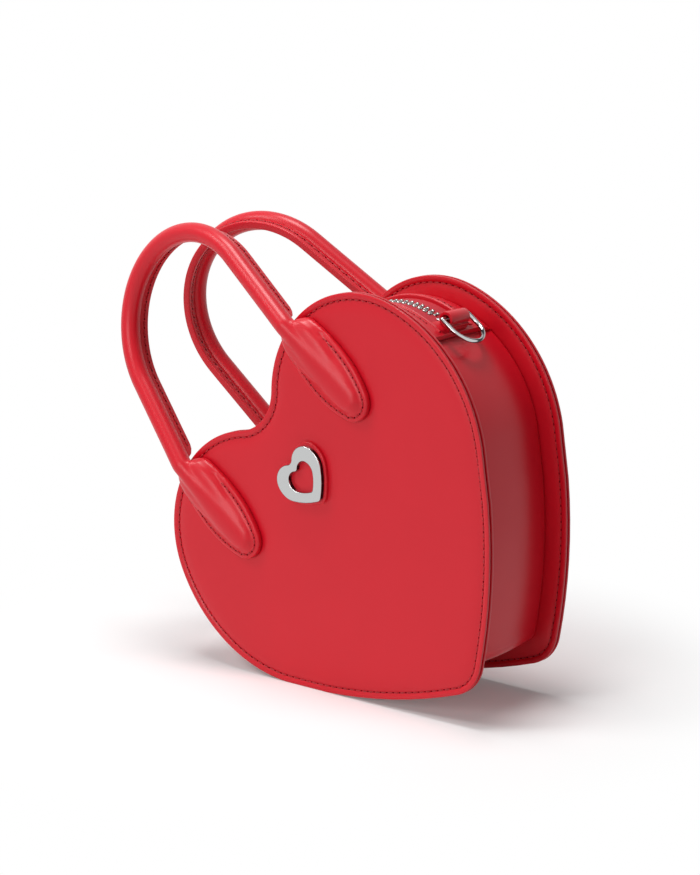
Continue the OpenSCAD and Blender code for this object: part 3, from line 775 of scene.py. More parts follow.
def heart_arcs():
    """The right half of the heart, from its dip to its tip.

    The flank starts with the flat that the bag lies on, and its radius makes the two halves meet.
    """
    o = settings().outline
    lobe = o.dip_turn
    shoulder = lobe - o.lobe_turn
    flank = shoulder - o.shoulder_turn
    tip = flank - o.flank_turn
    runs = [
        (-o.dip_radius, 0.0, lobe, 14),
        (o.lobe_radius, lobe, shoulder, 42),
        (o.shoulder_radius, shoulder, flank, 24),
        (o.tip_radius, tip, -math.pi, 10),
    ]
    width = sum(radius * (math.sin(start) - math.sin(end)) for radius, start, end, _ in runs)
    flank_radius = -width / (math.sin(flank) - math.sin(tip))
    flat = flank - o.flank_turn / 4
    runs[3:3] = [(flank_radius, flank, flat, 1), (flank_radius, flat, tip, 8)]
    dip_up = -(o.dip_radius + o.lobe_radius) * (1 - math.cos(o.dip_turn))
    return tangent_arcs(0.0, dip_up, runs)


def upper_arcs(last_heading):
    """The arcs over one lobe, from the dip to a heading on the shoulder."""
    dip, lobe, shoulder = heart_arcs()[:3]
    share = (last_heading - shoulder.start) / (shoulder.end - shoulder.start)
    return [dip, lobe, shoulder._replace(end=last_heading, steps=max(1, round(share * shoulder.steps)))]


def lower_arcs(first_heading):
    """The arcs from a heading on the shoulder to the tip."""
    shoulder, *rest = heart_arcs()[2:]
    share = (shoulder.end - first_heading) / (shoulder.end - shoulder.start)
    return [shoulder._replace(start=first_heading, steps=round(share * shoulder.steps)), *rest]


def arc_point(arc, heading, inset=0.0):
    """The place on an arc at a heading, a distance inside the outline."""
    radius = arc.radius - inset
    return Vector((arc.across - radius * math.sin(heading), 0, arc.up + radius * math.cos(heading)))


def arc_run(arc, inset):
    """The length of an arc, a distance inside the outline."""
    return abs(arc.radius - inset) * abs(arc.start - arc.end)


def half_run(arcs, inset):
    """The length of half an outline, a distance inside it."""
    return sum(arc_run(arc, inset) for arc in arcs)


def walk(arcs, inset, distance):
    """The place and heading at a distance along the outline, a negative distance on its left half."""
    remaining = abs(distance)
    for arc in arcs:
        run = arc_run(arc, inset)
        if remaining <= run or arc is arcs[-1]:
            break
        remaining -= run
    heading = arc.start + (arc.end - arc.start) * remaining / run
    place = arc_point(arc, heading, inset)
    if distance < 0:
        return Vector((-place.x, 0, place.z)), -heading
    return place, heading


def facing(place, heading, depth=0.0):
    """A matrix at a place of the outline: X along it, Y through the depth and Z out of the bag."""
    return Matrix.Translation((place.x, depth, place.z)) @ Matrix.Rotation(-heading, 4, "Y")


def lying():
    """The matrix that lays the upright bag on its flank, where the CAD part lies."""
    arcs = heart_arcs()
    flat = arcs[3]
    roll = math.pi + (flat.start + flat.end) / 2
    turn = Matrix.Rotation(-roll, 4, "Y")
    samples = 200
    tip_end = [
        arc_point(arc, arc.start + (arc.end - arc.start) * k / samples)
        for arc in arcs[4:]
        for k in range(samples + 1)
    ]
    reach = max((turn @ place).x for place in tip_end)
    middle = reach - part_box("front_panel_leather")[1].x
    # The bag lies on its left flank, which mirrors the right one.
    contact = arc_point(flat, flat.start)
    floor = (turn @ Vector((-contact.x, 0, contact.z))).z
    return Matrix.Translation((-middle, 0, -floor)) @ turn


# Mesh helpers


def transform(bm, matrix):
    """Moves a whole mesh by a matrix."""
    bmesh.ops.transform(bm, matrix=matrix, verts=bm.verts[:])


def section(bm, points, arc, heading, closed=True, rounding=()):
    """Draws a section across the outline as edges.

    Points are (inset, depth), and rounding is the (index, radius) of corners.
    """
    verts = []
    for inset, depth in points:
        place = arc_point(arc, heading, inset)
        verts.append(bm.verts.new((place.x, depth, place.z)))
    if not closed:
        edges = [bm.edges.new(pair) for pair in zip(verts, verts[1:])]
        return verts + edges
    face = bm.faces.new(verts)
    for corner, radius in rounding:
        bmesh.ops.bevel(
            bm,
            geom=[verts[corner]],
            offset=radius,
            affect="VERTICES",
            segments=4,
            profile=0.5,
            material=-1,
        )
    if not face.is_valid:
        # A bevel has put a new face in its place.
        face = bm.faces[:][-1]
    verts, edges = list(face.verts), list(face.edges)
    bmesh.ops.delete(bm, geom=[face], context="FACES_ONLY")
    return verts + edges


def sweep(bm, geom, arcs):
    """Carries edges along arcs that touch, by one spin round each centre. Returns the last edges."""
    for arc in arcs:
        spun = bmesh.ops.spin(
            bm,
            geom=geom,
            cent=(arc.across, 0, arc.up),
            axis=(0, 1, 0),
            dvec=(0, 0, 0),
            angle=arc.start - arc.end,
            steps=arc.steps,
            use_merge=False,
        )
        geom = spun["geom_last"]
    return geom


def mirror_across(bm):
    """Adds the left half of a mesh, joined to the right half on the middle plane."""
    bmesh.ops.mirror(bm, geom=bm.verts[:] + bm.edges[:] + bm.faces[:], merge_dist=1e-6, axis="X")


def fill_open_edges(bm):
    """Closes each open loop of edges with one face."""
    bmesh.ops.holes_fill(bm, edges=[e for e in bm.edges if e.is_boundary], sides=0)


def merge_close(bm, distance=1e-6):
    """Makes vertices one that lie closer than a distance."""
    bmesh.ops.remove_doubles(bm, verts=bm.verts[:], dist=distance)


def point_outwards(bm):
    """Turns the faces of closed shells outwards."""
    bmesh.ops.recalc_face_normals(bm, faces=bm.faces[:])


def round_edges(bm, width, angle=math.radians(60), segments=2, keep=None):
    """Bevels each edge whose faces meet at more than an angle."""
    sharp = [
        e
        for e in bm.edges
        if len(e.link_faces) == 2 and e.calc_face_angle() > angle and (keep is None or keep(e))
    ]
    bmesh.ops.bevel(
        bm,
        geom=sharp,
        offset=width,
        affect="EDGES",
        segments=segments,
        profile=0.5,
        material=-1,
        clamp_overlap=True,
    )


def swept(points, arcs, closed=True, rounding=()):
    """A section carried along half an outline and mirrored onto the other half, with its ends closed."""
    bm = bmesh.new()
    wire = section(bm, points, arcs[0], arcs[0].start, closed, rounding)
    sweep(bm, wire, arcs)
    mirror_across(bm)
    merge_close(bm)
    fill_open_edges(bm)
    return bm


def mirrored_face(bm):
    """Mirrors half an outline and fills it with one face, which is returned."""
    bmesh.ops.mirror(bm, geom=bm.verts[:] + bm.edges[:], merge_dist=1e-6, axis="X")
    merge_close(bm)
    bmesh.ops.contextual_create(bm, geom=bm.edges[:])
    return bm.faces[:][-1]


def both_depths(bm):
    """Adds the front twin of a mesh that lies behind the middle."""
    bmesh.ops.mirror(bm, geom=bm.verts[:] + bm.edges[:] + bm.faces[:], merge_dist=-1, axis="Y")


def to_left(bm):
    """Turns a right piece into its left twin, whose faces are turned outwards when it is added."""
    bmesh.ops.scale(bm, vec=(-1, 1, 1), verts=bm.verts[:])


def to_back(bm):
    """Turns a front piece into its back twin."""
    bmesh.ops.scale(bm, vec=(1, -1, 1), verts=bm.verts[:])
    bmesh.ops.reverse_faces(bm, faces=bm.faces[:])


def new_object(name, bm):
    """An object of a bmesh, which is freed."""
    mesh = bpy.data.meshes.new(name)
    bm.to_mesh(mesh)
    bm.free()
    obj = bpy.data.objects.new(name, mesh)
    bpy.context.scene.collection.objects.link(obj)
    return obj


def applied(obj):
    """A bmesh of an object as its modifiers leave it. The object is removed."""
    graph = bpy.context.evaluated_depsgraph_get()
    bm = bmesh.new()
    bm.from_mesh(obj.evaluated_get(graph).to_mesh())
    obj.evaluated_get(graph).to_mesh_clear()
    mesh = obj.data
    bpy.data.objects.remove(obj)
    bpy.data.meshes.remove(mesh)
    return bm


def thickened(bm, thickness):
    """A surface given a wall to both sides of it."""
    obj = new_object("wall", bm)
    wall = obj.modifiers.new("wall", "SOLIDIFY")
    wall.thickness = thickness
    wall.offset = 0
    return applied(obj)


def joined(*parts):
    """One bmesh of several, which are freed."""
    whole = bmesh.new()
    for part in parts:
        mesh = bpy.data.meshes.new("part")
        part.to_mesh(mesh)
        part.free()
        whole.from_mesh(mesh)
        bpy.data.meshes.remove(mesh)
    return whole


def mark_weave(obj, coordinates):
    """Stores where each vertex lies along and across the cloth, for the weave to follow."""
    attribute = obj.data.attributes.new("weave", "FLOAT_VECTOR", "POINT")
    for datum, value in zip(attribute.data, coordinates):
        datum.vector = value


def heart_length(point):
    """How far along the outline a point of the upright bag lies, for the weave."""
    side = -1 if point.x < 0 else 1
    start = 0.0
    slack = 1e-4
    for arc in heart_arcs():
        away = Vector((abs(point.x) - arc.across, point.z - arc.up)) * (1 if arc.radius > 0 else -1)
        heading = math.atan2(-away.x, away.y)
        # Straight below an arc's centre the angle jumps up by a whole turn, which is taken off again.
        if heading > arc.start + 1.0 and arc.radius > 0:
            heading -= 2 * math.pi
        low, high = sorted((arc.start, arc.end))
        if low - slack <= heading <= high + slack:
            return side * (start + abs(arc.radius) * abs(heading - arc.start))
        start += arc_run(arc, 0.0)
    return side * start


def add_piece(bm, name, materials, body, replaces=(), smooth=35, outwards=True, upright=True):
    """Makes a mesh a piece of the handbag, with its materials and shading, that rides on a body."""
    if outwards:
        point_outwards(bm)
    if upright:
        transform(bm, lying())
    obj = new_object(name, bm)
    for entry in materials:
        obj.data.materials.append(material(entry))
    obj.data.shade_smooth()
    obj.data.set_sharp_from_angle(angle=math.radians(smooth))
    if body:
        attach(obj, body)
    if replaces:
        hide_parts(*replaces)
    return obj


def shade_flats(obj):
    """Shades the flat faces of a piece as flats, so that only its rounded edges curve."""
    even = obj.modifiers.new("even", "WEIGHTED_NORMAL")
    even.keep_sharp = True
    even.weight = 100


def dress_node(node, entry):
    """Gives a CAD node that stays as it is one of the handbag's materials."""
    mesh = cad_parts[node].data
    mesh.materials.clear()
    mesh.materials.append(material(entry))


def polished_copy(node, name, body, rounding=0.0, smooth=35, slimmer=0.0):
    """A chrome copy of a hard CAD node with merged faces and rounded edges, which stands for the node."""
    hard, flat = math.radians(40), math.radians(1.5)
    bm = bmesh.new()
    bm.from_mesh(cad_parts[node].data)
    merge_close(bm, 2e-6)
    bm.normal_update()
    for vert in bm.verts:
        vert.co -= vert.normal * slimmer
    bmesh.ops.dissolve_limit(bm, angle_limit=flat, verts=bm.verts[:], edges=bm.edges[:])
    if rounding:
        round_edges(bm, rounding, hard)
    obj = add_piece(
        bm, name, ["polished_chrome"], body, [node], smooth, outwards=False, upright=False
    )
    if rounding:
        shade_flats(obj)


def add_stitch(bm, matrix, pitch, thread, lift=0.0):
    """One stitch, a thread that dips at both ends, and after it a dark oval, painted shade that stands for
    the needle hole.

    X runs along the seam and Z out of the leather. The lift is a share of the thread's diameter.
    """
    thread_half = (pitch * 0.34, thread / 2, thread * 0.42)
    hole_shade_half = (pitch * 0.14, thread * 0.42, thread * 0.14)
    stitch = Matrix.Translation((0, 0, thread * lift)) @ Matrix.Diagonal((*thread_half, 1))
    bmesh.ops.create_uvsphere(bm, u_segments=7, v_segments=4, radius=1.0, matrix=matrix @ stitch)
    # A dark oval sunk nearly to the surface: painted shade where the needle hole is.
    hole = Matrix.Translation((pitch / 2, 0, thread * 0.08)) @ Matrix.Diagonal((*hole_shade_half, 1))
    made = bmesh.ops.create_uvsphere(bm, u_segments=7, v_segments=4, radius=1.0, matrix=matrix @ hole)
    for face in {f for v in made["verts"] for f in v.link_faces}:
        face.material_index = 1


def seam_steps(half, pitch):
    """The distances of a seam's stitches from its middle, spread evenly over both its halves."""
    count = round(2 * half / pitch)
    return [(k + 0.5) * 2 * half / count - half for k in range(count)]


# Panels


# The groove of a panel's seam and the bead beside it, in mm: inwards from the seam, and below the face.
GROOVE = (
    (9, 0),
    (6, 0),
    (4, 0.08),
    (2.4, 0.22),
    (1.1, 0.42),
    (0.4, 0.62),
    (0, 0.7),
    (-0.4, 0.5),
    (-0.9, 0.12),
    (-1.6, 0),
)


def leather_sheet(face_y, back_y):
    """A heart of leather with a stitch groove, a soft bead beside it and rounded edges."""
    inwards = 1 if back_y > face_y else -1
    seam = settings().panels.stitch_inset
    groove = [(seam + beside * MM, face_y + inwards * below * MM) for beside, below in GROOVE]
    edge = [
        (0.6 * MM, face_y),
        (0.15 * MM, face_y + inwards * 0.15 * MM),
        (0.0, face_y + inwards * 0.45 * MM),
        (0.0, back_y - inwards * 0.35 * MM),
        (0.12 * MM, back_y - inwards * 0.1 * MM),
        (0.4 * MM, back_y),
    ]
    inner_edge = (groove[0][0], back_y)
    return swept([*groove, *edge, inner_edge], heart_arcs(), closed=False)


def paint_edges(obj):
    """Puts edge paint on the narrow faces that stand across a panel's edge."""
    outward_share, face_area, least_rise = 0.75, 1e-4, 0.14 * MM
    for polygon in obj.data.polygons:
        if abs(polygon.normal.y) < outward_share and polygon.area < face_area:
            corners = [obj.data.vertices[i].co.y for i in polygon.vertices]
            if max(corners) - min(corners) > least_rise:
                polygon.material_index = 1


def panel_stitches(bm, face_y, outwards_y):
    """Stitches all round a panel's face."""
    p = settings().panels
    arcs = heart_arcs()
    tilt = Matrix.Rotation(-outwards_y * QUARTER, 4, "X")
    for distance in seam_steps(half_run(arcs, p.stitch_inset), p.stitch_pitch):
        place, heading = walk(arcs, p.stitch_inset, distance)
        add_stitch(bm, facing(place, heading, face_y) @ tilt, p.stitch_pitch, p.thread, 0.2)


class HANDBAG_OT_panels(bpy.types.Operator):
    """Makes the leathers of both heart panels, with painted edges and stitched seams"""

    bl_idname = "handbag.panels"
    bl_label = "Panels"

    def execute(self, context):
        p = settings().panels
        half = p.depth / 2
        inner = inner_depth()
        thread_depth = 0.62 * MM
        for side, out in (("front", -1), ("back", 1)):
            for node, cover, seam, face, back, outwards in (
                ("panel_leather", "panel_hide", "outer_stitches", half, half - p.leather, out),
                ("panel_facing", "facing_hide", "inner_stitches", inner, inner + p.leather, -out),
            ):
                leather = add_piece(
                    leather_sheet(out * face, out * back),
                    f"{side}_{cover}",
                    ["smooth_leather", "edge_paint"],
                    "bag",
                    [f"{side}_{node}"],
                )
                paint_edges(leather)
                threads = bmesh.new()
                panel_stitches(threads, out * face - outwards * thread_depth, outwards)
                add_piece(threads, f"{side}_{seam}", SEAM_MATERIALS, "bag")
            dress_node(f"{side}_panel_board", "fibreboard")
        return {"FINISHED"}


# Gusset


# The radius at which the gusset's leather bends into its seams.
BEND = 1.2 * MM


def band_level(y):
    """The inset of the lower gusset's bulge, at a depth."""
    g = settings().gusset
    return g.inset - g.band_rise * (1 - (y / inner_depth()) ** 2)


def gusset_band():
    """The lower gusset, from one end of the zip round the tip to the other."""
    g = settings().gusset
    half_inner = inner_depth()
    seam_y = half_inner - g.leather
    low = g.inset + g.leather + g.seam
    steps = 12
    outer = [(band_level(y), y) for y in (half_inner * (1 - k / steps) for k in range(2 * steps + 1))]
    inner = [
        (band_level(y) + g.leather, y) for y in (seam_y * (k / steps - 1) for k in range(2 * steps + 1))
    ]
    points = [(low, half_inner), *outer, (low, -half_inner), (low, -seam_y), *inner, (low, seam_y)]
    return swept(points, lower_arcs(g.end_heading), rounding=((1, BEND), (len(outer), BEND)))


def slope_level(share):
    """The inset of a strip's slope, at a share of its run from the border to the seam."""
    g = settings().gusset
    return border_level() + g.zip_rise * (share + share**2) / 2


def gusset_strip():
    """The back strip beside the zip: it rises from its seam to a border with a folded edge."""
    g = settings().gusset
    half_inner = inner_depth()
    seam_y = half_inner - g.leather
    tape_y = g.window / 2 + g.border
    edge_y = g.window / 2
    fold_y = edge_y + g.fold_width
    strip = border_level()
    tape = strip + g.leather
    low = g.inset + g.leather + g.seam
    steps = 8
    outer = [
        (slope_level(k / steps), tape_y + (half_inner - tape_y) * k / steps) for k in range(steps, -1, -1)
    ]
    inner = [
        (slope_level(k / steps) + g.leather, tape_y + (seam_y - tape_y) * k / steps)
        for k in range(steps + 1)
    ]
    points = [
        (low, half_inner),
        *outer,
        (strip, fold_y + 0.3 * MM),
        (strip - 0.1 * MM, fold_y),
        (strip - g.fold_height, fold_y - 0.35 * MM),
        (strip - g.fold_height, edge_y),
        (tape, edge_y),
        *inner,
        (low, seam_y),
    ]
    folded = len(outer) + 4
    corners = ((1, BEND), (folded, 0.6 * MM), (folded - 1, 0.2 * MM))
    return swept(points, upper_arcs(g.end_heading), rounding=corners)


def strip_stitches(bm, side):
    """Stitches along a strip's border, beside its folded edge."""
    g = settings().gusset
    p = settings().panels
    level = border_level()
    arcs = upper_arcs(g.patch_heading)
    beside_fold = 1.1 * MM
    depth = side * (g.window / 2 + g.fold_width + beside_fold)
    for distance in seam_steps(half_run(arcs, level), p.stitch_pitch):
        place, heading = walk(arcs, level, distance)
        add_stitch(bm, facing(place, heading, depth), p.stitch_pitch, p.thread)


def end_patch():
    """The leather patch over the tape, at the right end of the zip."""
    g = settings().gusset
    gap = 0.05 * MM
    edge_y = g.window / 2 - gap
    top = border_level()
    under = top + g.leather
    shoulder = upper_arcs(g.end_heading)[2]
    patch = shoulder._replace(start=g.patch_heading, steps=4)
    bm = bmesh.new()
    wire = section(
        bm, [(top, edge_y), (top, -edge_y), (under, -edge_y), (under, edge_y)], patch, patch.start
    )
    sweep(bm, wire, [patch])
    fill_open_edges(bm)
    round_edges(bm, 0.35 * MM)
    return bm


def end_fold():
    """The folded edge across the zip gusset's right end, from the patch down to the lower gusset."""
    g = settings().gusset
    half_inner = inner_depth()
    tape_y = g.window / 2 + g.border
    shoulder = upper_arcs(g.end_heading)[2]
    steps = 8
    top = [
        (tape_y + (half_inner - tape_y) * k / steps, -slope_level(k / steps)) for k in range(steps, -1, -1)
    ]
    foot = [(half_inner * k / steps, -band_level(half_inner * k / steps)) for k in range(1 - steps, steps)]
    outline = [*top, *[(-y, z) for y, z in reversed(top)], *foot]
    bm = bmesh.new()
    face = bm.faces.new([bm.verts.new((0, y, z)) for y, z in outline])
    grown = bmesh.ops.extrude_face_region(bm, geom=[face])
    moved = [v for v in grown["geom"] if isinstance(v, bmesh.types.BMVert)]
    bmesh.ops.translate(bm, vec=(g.end_fold, 0, 0), verts=moved)
    point_outwards(bm)
    round_edges(bm, 0.8 * MM, segments=3, keep=lambda e: all(v.co.x > MM for v in e.verts))
    transform(bm, facing(arc_point(shoulder, g.end_heading), g.end_heading))
    return bm


class HANDBAG_OT_gusset(bpy.types.Operator):
    """Makes the gusset's leathers, with the strips, end patches and stitches beside the zip"""

    bl_idname = "handbag.gusset"
    bl_label = "Gusset"

    def execute(self, context):
        add_piece(gusset_band(), "gusset_hide", ["smooth_leather"], "bag", ["gusset_band"])
        for side, sign in (("front", -1), ("back", 1)):
            strip = gusset_strip()
            if sign < 0:
                to_back(strip)
            node = f"gusset_strip_{side}"
            add_piece(strip, f"{side}_strip_hide", ["smooth_leather"], "bag", [node])
            threads = bmesh.new()
            strip_stitches(threads, sign)
            add_piece(threads, f"{side}_strip_stitches", SEAM_MATERIALS, "bag")
        for side in ("left", "right"):
            end = joined(end_patch(), end_fold())
            if side == "left":
                to_left(end)
            add_piece(end, f"{side}_end_hide", ["smooth_leather"], "bag", [f"{side}_zip_end"])
        return {"FINISHED"}


# D rings and their loops


def ring_loop():
    """The right leather loop: a strap folded round the ring's bar, both layers sewn to the gusset."""
    r = settings().rings
    t = r.loop_leather
    bm = bmesh.new()
    start = bm.verts.new((r.loop_foot, 0, t / 2))
    corner = bm.verts.new((0, 0, t / 2))
    bm.edges.new((start, corner))
    spun = bmesh.ops.spin(
        bm,
        geom=[corner],
        cent=(0, 0, 2.5 * t),
        axis=(0, 1, 0),
        dvec=(0, 0, 0),
        angle=math.radians(255),
        steps=20,
    )
    end = next(v for v in spun["geom_last"] if isinstance(v, bmesh.types.BMVert))
    # Behind the bar the strap comes down onto its lower layer.
    for x, z in ((1.8 * t, 1.8 * t), (2.2 * t, 1.55 * t), (r.loop_foot, 1.5 * t)):
        following = bm.verts.new((x, 0, z))
        bm.edges.new((end, following))
        end = following
    strap = bmesh.ops.extrude_edge_only(bm, edges=bm.edges[:])
    moved = [v for v in strap["geom"] if isinstance(v, bmesh.types.BMVert)]
    bmesh.ops.translate(bm, vec=(0, r.loop_width, 0), verts=moved)
    bmesh.ops.translate(bm, vec=(0, -r.loop_width / 2, 0), verts=bm.verts[:])
    merge_close(bm)
    point_outwards(bm)
    # A little thinner than the leather, so that the two layers don't share a face.
    thick = thickened(bm, t * 0.96)
    round_edges(thick, 0.35 * MM, segments=3)
    shoulder = heart_arcs()[2]
    transform(thick, facing(arc_point(shoulder, r.heading, border_level()), r.heading))
    return thick


class HANDBAG_OT_rings(bpy.types.Operator):
    """Makes the leather loops, and polishes the D rings in them"""

    bl_idname = "handbag.rings"
    bl_label = "D rings"

    def execute(self, context):
        for side in ("left", "right"):
            loop = ring_loop()
            if side == "left":
                to_left(loop)
            add_piece(loop, f"{side}_loop_hide", ["smooth_leather"], "bag", [f"{side}_ring_tab"])
            body = f"{side}_d_ring"
            polished_copy(body, f"{side}_ring_wire", body, smooth=60, slimmer=0.15 * MM)
        return {"FINISHED"}


# Zip


def zip_tape():
    """Both halves of the tape, which the teeth clasp."""
    g = settings().gusset
    z = settings().zip
    level = border_level() + g.leather
    inner_y = 0.35 * MM
    outer_y = g.window / 2 + g.border
    steps = 6
    across = [inner_y + (outer_y - inner_y) * k / steps for k in range(steps + 1)]
    points = [*[(level, y) for y in reversed(across)], *[(level + z.tape, y) for y in across]]
    bm = swept(points, upper_arcs(g.end_heading))
    both_depths(bm)
    return bm


def add_tooth(bm, matrix):
    """One tooth: a head that reaches past the chain's middle, and jaws that clasp the tape."""
    z = settings().zip
    past_middle = 0.75 * MM
    jaw = z.chain / 2 - z.grip
    head_size = (z.tooth, jaw + past_middle, z.tooth_height * 0.86)
    jaws_size = (z.tooth * 1.12, z.grip, z.tooth_height)
    head = Matrix.Translation((0, (jaw - past_middle) / 2, 0)) @ Matrix.Diagonal((*head_size, 1))
    jaws = Matrix.Translation((0, (jaw + z.chain / 2) / 2, 0)) @ Matrix.Diagonal((*jaws_size, 1))
    made = bmesh.ops.create_cube(bm, size=1.0, matrix=head)
    tip = [v for v in made["verts"] if v.co.y < 0]
    bmesh.ops.scale(bm, vec=(0.72, 1, 0.8), verts=tip)
    more = bmesh.ops.create_cube(bm, size=1.0, matrix=jaws)
    bmesh.ops.transform(bm, matrix=matrix, verts=made["verts"] + more["verts"])


def zip_teeth():
    """Both rows of teeth, closed, from one stop to the other."""
    g = settings().gusset
    z = settings().zip
    level = border_level() + g.leather + z.tape / 2
    arcs = upper_arcs(z.last_heading)
    count = math.floor(2 * half_run(arcs, level) / z.pitch)
    bm = bmesh.new()
    for side in (0, 1):
        turn = Matrix.Scale(-1, 4, (0, 1, 0)) if side else Matrix.Identity(4)
        for k in range(count - side):
            place, heading = walk(arcs, level, (k + side / 2 - (count - 1) / 2) * z.pitch)
            add_tooth(bm, facing(place, heading) @ turn)
    point_outwards(bm)
    round_edges(bm, 0.2 * MM, math.radians(50), segments=1)
    return bm


class HANDBAG_OT_zip(bpy.types.Operator):
    """Makes the woven tape and the rounded metal teeth, stops, slider and puller"""

    bl_idname = "handbag.zip"
    bl_label = "Zip"

    def execute(self, context):
        tape = zip_tape()
        weave = [(heart_length(v.co), v.co.y, 0) for v in tape.verts]
        obj = add_piece(tape, "zip_tape_cloth", ["zip_tape_weave"], "bag", ["zip_tape"])
        mark_weave(obj, weave)
        add_piece(zip_teeth(), "zip_tooth_rows", ["zip_alloy"], "bag", ["zip_teeth"], smooth=50)
        for node, name, body, rounding in (
            ("zip_stops", "zip_stop_metal", "bag", 0.25 * MM),
            ("zip_slider", "slider_metal", "zip_slider", 0.25 * MM),
            ("zip_puller", "puller_metal", "zip_puller", 0.35 * MM),
        ):
            polished_copy(node, name, body, rounding)
        return {"FINISHED"}


# Handles and their tabs


def handle_frame():
    """The front handle's plane: X between its necks, Z up its middle and Y towards the bag's middle."""
    h = settings().handles
    neck_y = settings().panels.depth / 2 + h.neck_stand
    return Matrix.Translation((h.shift, -neck_y, -h.neck_drop)) @ Matrix.Rotation(-h.lean, 4, "X")


def handle_shape():
    """A handle's leg as (length, lean, height of the arch's centre)."""
    h = settings().handles
    rise = h.height - h.arch
    reach = math.hypot(h.span / 2, rise)
    length = math.sqrt(reach**2 - h.arch**2)
    lean = QUARTER - math.atan2(rise, h.span / 2) - math.asin(h.arch / reach)
    return length, lean, rise


def handle_station(distance):
    """A place and heading on the middle line, at a distance from the left neck."""
    h = settings().handles
    length, lean, rise = handle_shape()
    turn = QUARTER - lean
    arch = 2 * turn * h.arch
    if distance > length + arch / 2:
        place, heading = handle_station(2 * length + arch - distance)
        return Vector((-place.x, 0, place.z)), -heading
    if distance < length:
        return Vector((distance * math.sin(lean) - h.span / 2, 0, distance * math.cos(lean))), turn
    heading = turn - (distance - length) / h.arch
    return Vector((-h.arch * math.sin(heading), 0, rise + h.arch * math.cos(heading))), heading


def handle_length():
    """The length of the middle line, from neck to neck."""
    h = settings().handles
    length, lean, _ = handle_shape()
    return 2 * length + 2 * (QUARTER - lean) * h.arch


# How the roll, and the padding beside it, sink into a tab, as flat ovals in mm: how far below the neck,
# the top's height over the panel, half width and half height.
ROLL_BELOW = (
    (47.5, 5.0, 4.2, 2.4),
    (44.0, 5.9, 6.2, 2.9),
    (38.0, 6.6, 7.2, 3.4),
    (30.0, 7.3, 7.4, 3.8),
    (22.0, 7.9, 6.8, 4.1),
    (15.0, 8.4, 5.8, 4.2),
    (9.0, 8.9, 5.0, 4.2),
    (4.0, 9.3, 4.5, 4.3),
)
PADDING_BELOW = (
    (32.0, 6.4, 7.0, 2.8),
    (24.0, 7.1, 8.8, 3.4),
    (16.0, 7.4, 9.6, 3.6),
    (9.0, 7.6, 9.4, 3.6),
    (4.5, 7.6, 8.2, 3.5),
    (1.5, 7.2, 6.4, 3.2),
)


def sunk_rings(side, sizes):
    """The flat ovals over a tab, as rings of (matrix, radius)."""
    h = settings().handles
    level = settings().panels.depth / 2
    rings = []
    for down, top, half_width, half_height in sizes:
        rise = level + (top - half_height) * MM
        place = Vector((h.shift + side * h.span / 2, -rise, -h.neck_drop - down * MM))
        oval = Matrix.Diagonal((half_width, half_height, 1, 1))
        rings.append((Matrix.Translation(place) @ oval, MM))
    return rings


def roll_rings():
    """The rings of the roll, from deep in the left tab over the arch into the right tab.

    A ring is (matrix, radius). Below each neck the roll flattens and widens into its tab's padding, which
    leaves a fading ridge.
    """
    h = settings().handles
    plane = handle_frame()
    over = []
    total = handle_length()
    steps = 64
    # A little thicker than the roll, because smoothing the skin shrinks it.
    radius = h.diameter / 2 + 0.1 * MM
    for k in range(steps + 1):
        place, heading = handle_station(total * k / steps)
        turned = Matrix.Rotation(-heading, 4, "Y") @ Matrix.Rotation(QUARTER, 4, "Y")
        over.append((plane @ Matrix.Translation(place) @ turned, radius))
    return sunk_rings(-1, ROLL_BELOW) + over + sunk_rings(1, ROLL_BELOW)[::-1]


def lofted_rings(bm, rings):
    """Joins circles into one closed tube."""
    loops = []
    for matrix, radius in rings:
        made = bmesh.ops.create_circle(bm, cap_ends=False, segments=28, radius=radius, matrix=matrix)
        loops.append(list({e for v in made["verts"] for e in v.link_edges}))
    for first, second in zip(loops, loops[1:]):
        bmesh.ops.bridge_loops(bm, edges=first + second)
    fill_open_edges(bm)


def tab_arcs():
    """The right half of a tab's outline, below its straight top, with the neck at (0, 0)."""
    t = settings().tabs
    half = t.width / 2
    low_run = t.length - t.end - t.widest
    low_r = (half**2 + low_run**2 - t.end**2) / (2 * (half - t.end))
    low_turn = math.atan2(low_run, low_r - half)
    high_w = half - t.top_half
    high_run = t.widest - t.top - t.shoulder
    high_r = (high_w**2 + high_run**2 - t.shoulder**2) / (2 * (high_w - t.shoulder))
    high_turn = math.atan2(high_run, high_r - high_w)
    runs = [
        (t.shoulder, 0.0, high_turn - QUARTER, 14),
        (high_r, high_turn - QUARTER, -QUARTER, 6),
        (low_r, -QUARTER, -low_turn - QUARTER, 10),
        (t.end, -low_turn - QUARTER, -math.pi, 14),
    ]
    return tangent_arcs(t.top_half, -t.top, runs)


def tab_face(bm, inset):
    """A tab's outline as one upright face, drawn by spinning a point round each arc."""
    t = settings().tabs
    top = bm.verts.new((0, 0, -t.top - inset))
    corner = bm.verts.new((t.top_half, 0, -t.top - inset))
    bm.edges.new((top, corner))
    sweep(bm, [corner], [arc._replace(radius=arc.radius - inset) for arc in tab_arcs()])
    return mirrored_face(bm)


def raised(bm, face, height):
    """Extrudes an upright face towards the front by a height, and returns the moved face."""
    grown = bmesh.ops.extrude_face_region(bm, geom=[face])["geom"]
    verts = [v for v in grown if isinstance(v, bmesh.types.BMVert)]
    bmesh.ops.translate(bm, vec=(0, -height, 0), verts=verts)
    return next(f for f in grown if isinstance(f, bmesh.types.BMFace))


def swell_up(bm, face, rises):
    """Insets a face and raises it, once for each (inset, rise)."""
    for inset, rise in rises:
        bmesh.ops.inset_region(bm, faces=[face], thickness=inset, depth=0, use_even_offset=True)
        bmesh.ops.translate(bm, vec=(0, -rise, 0), verts=list(face.verts))


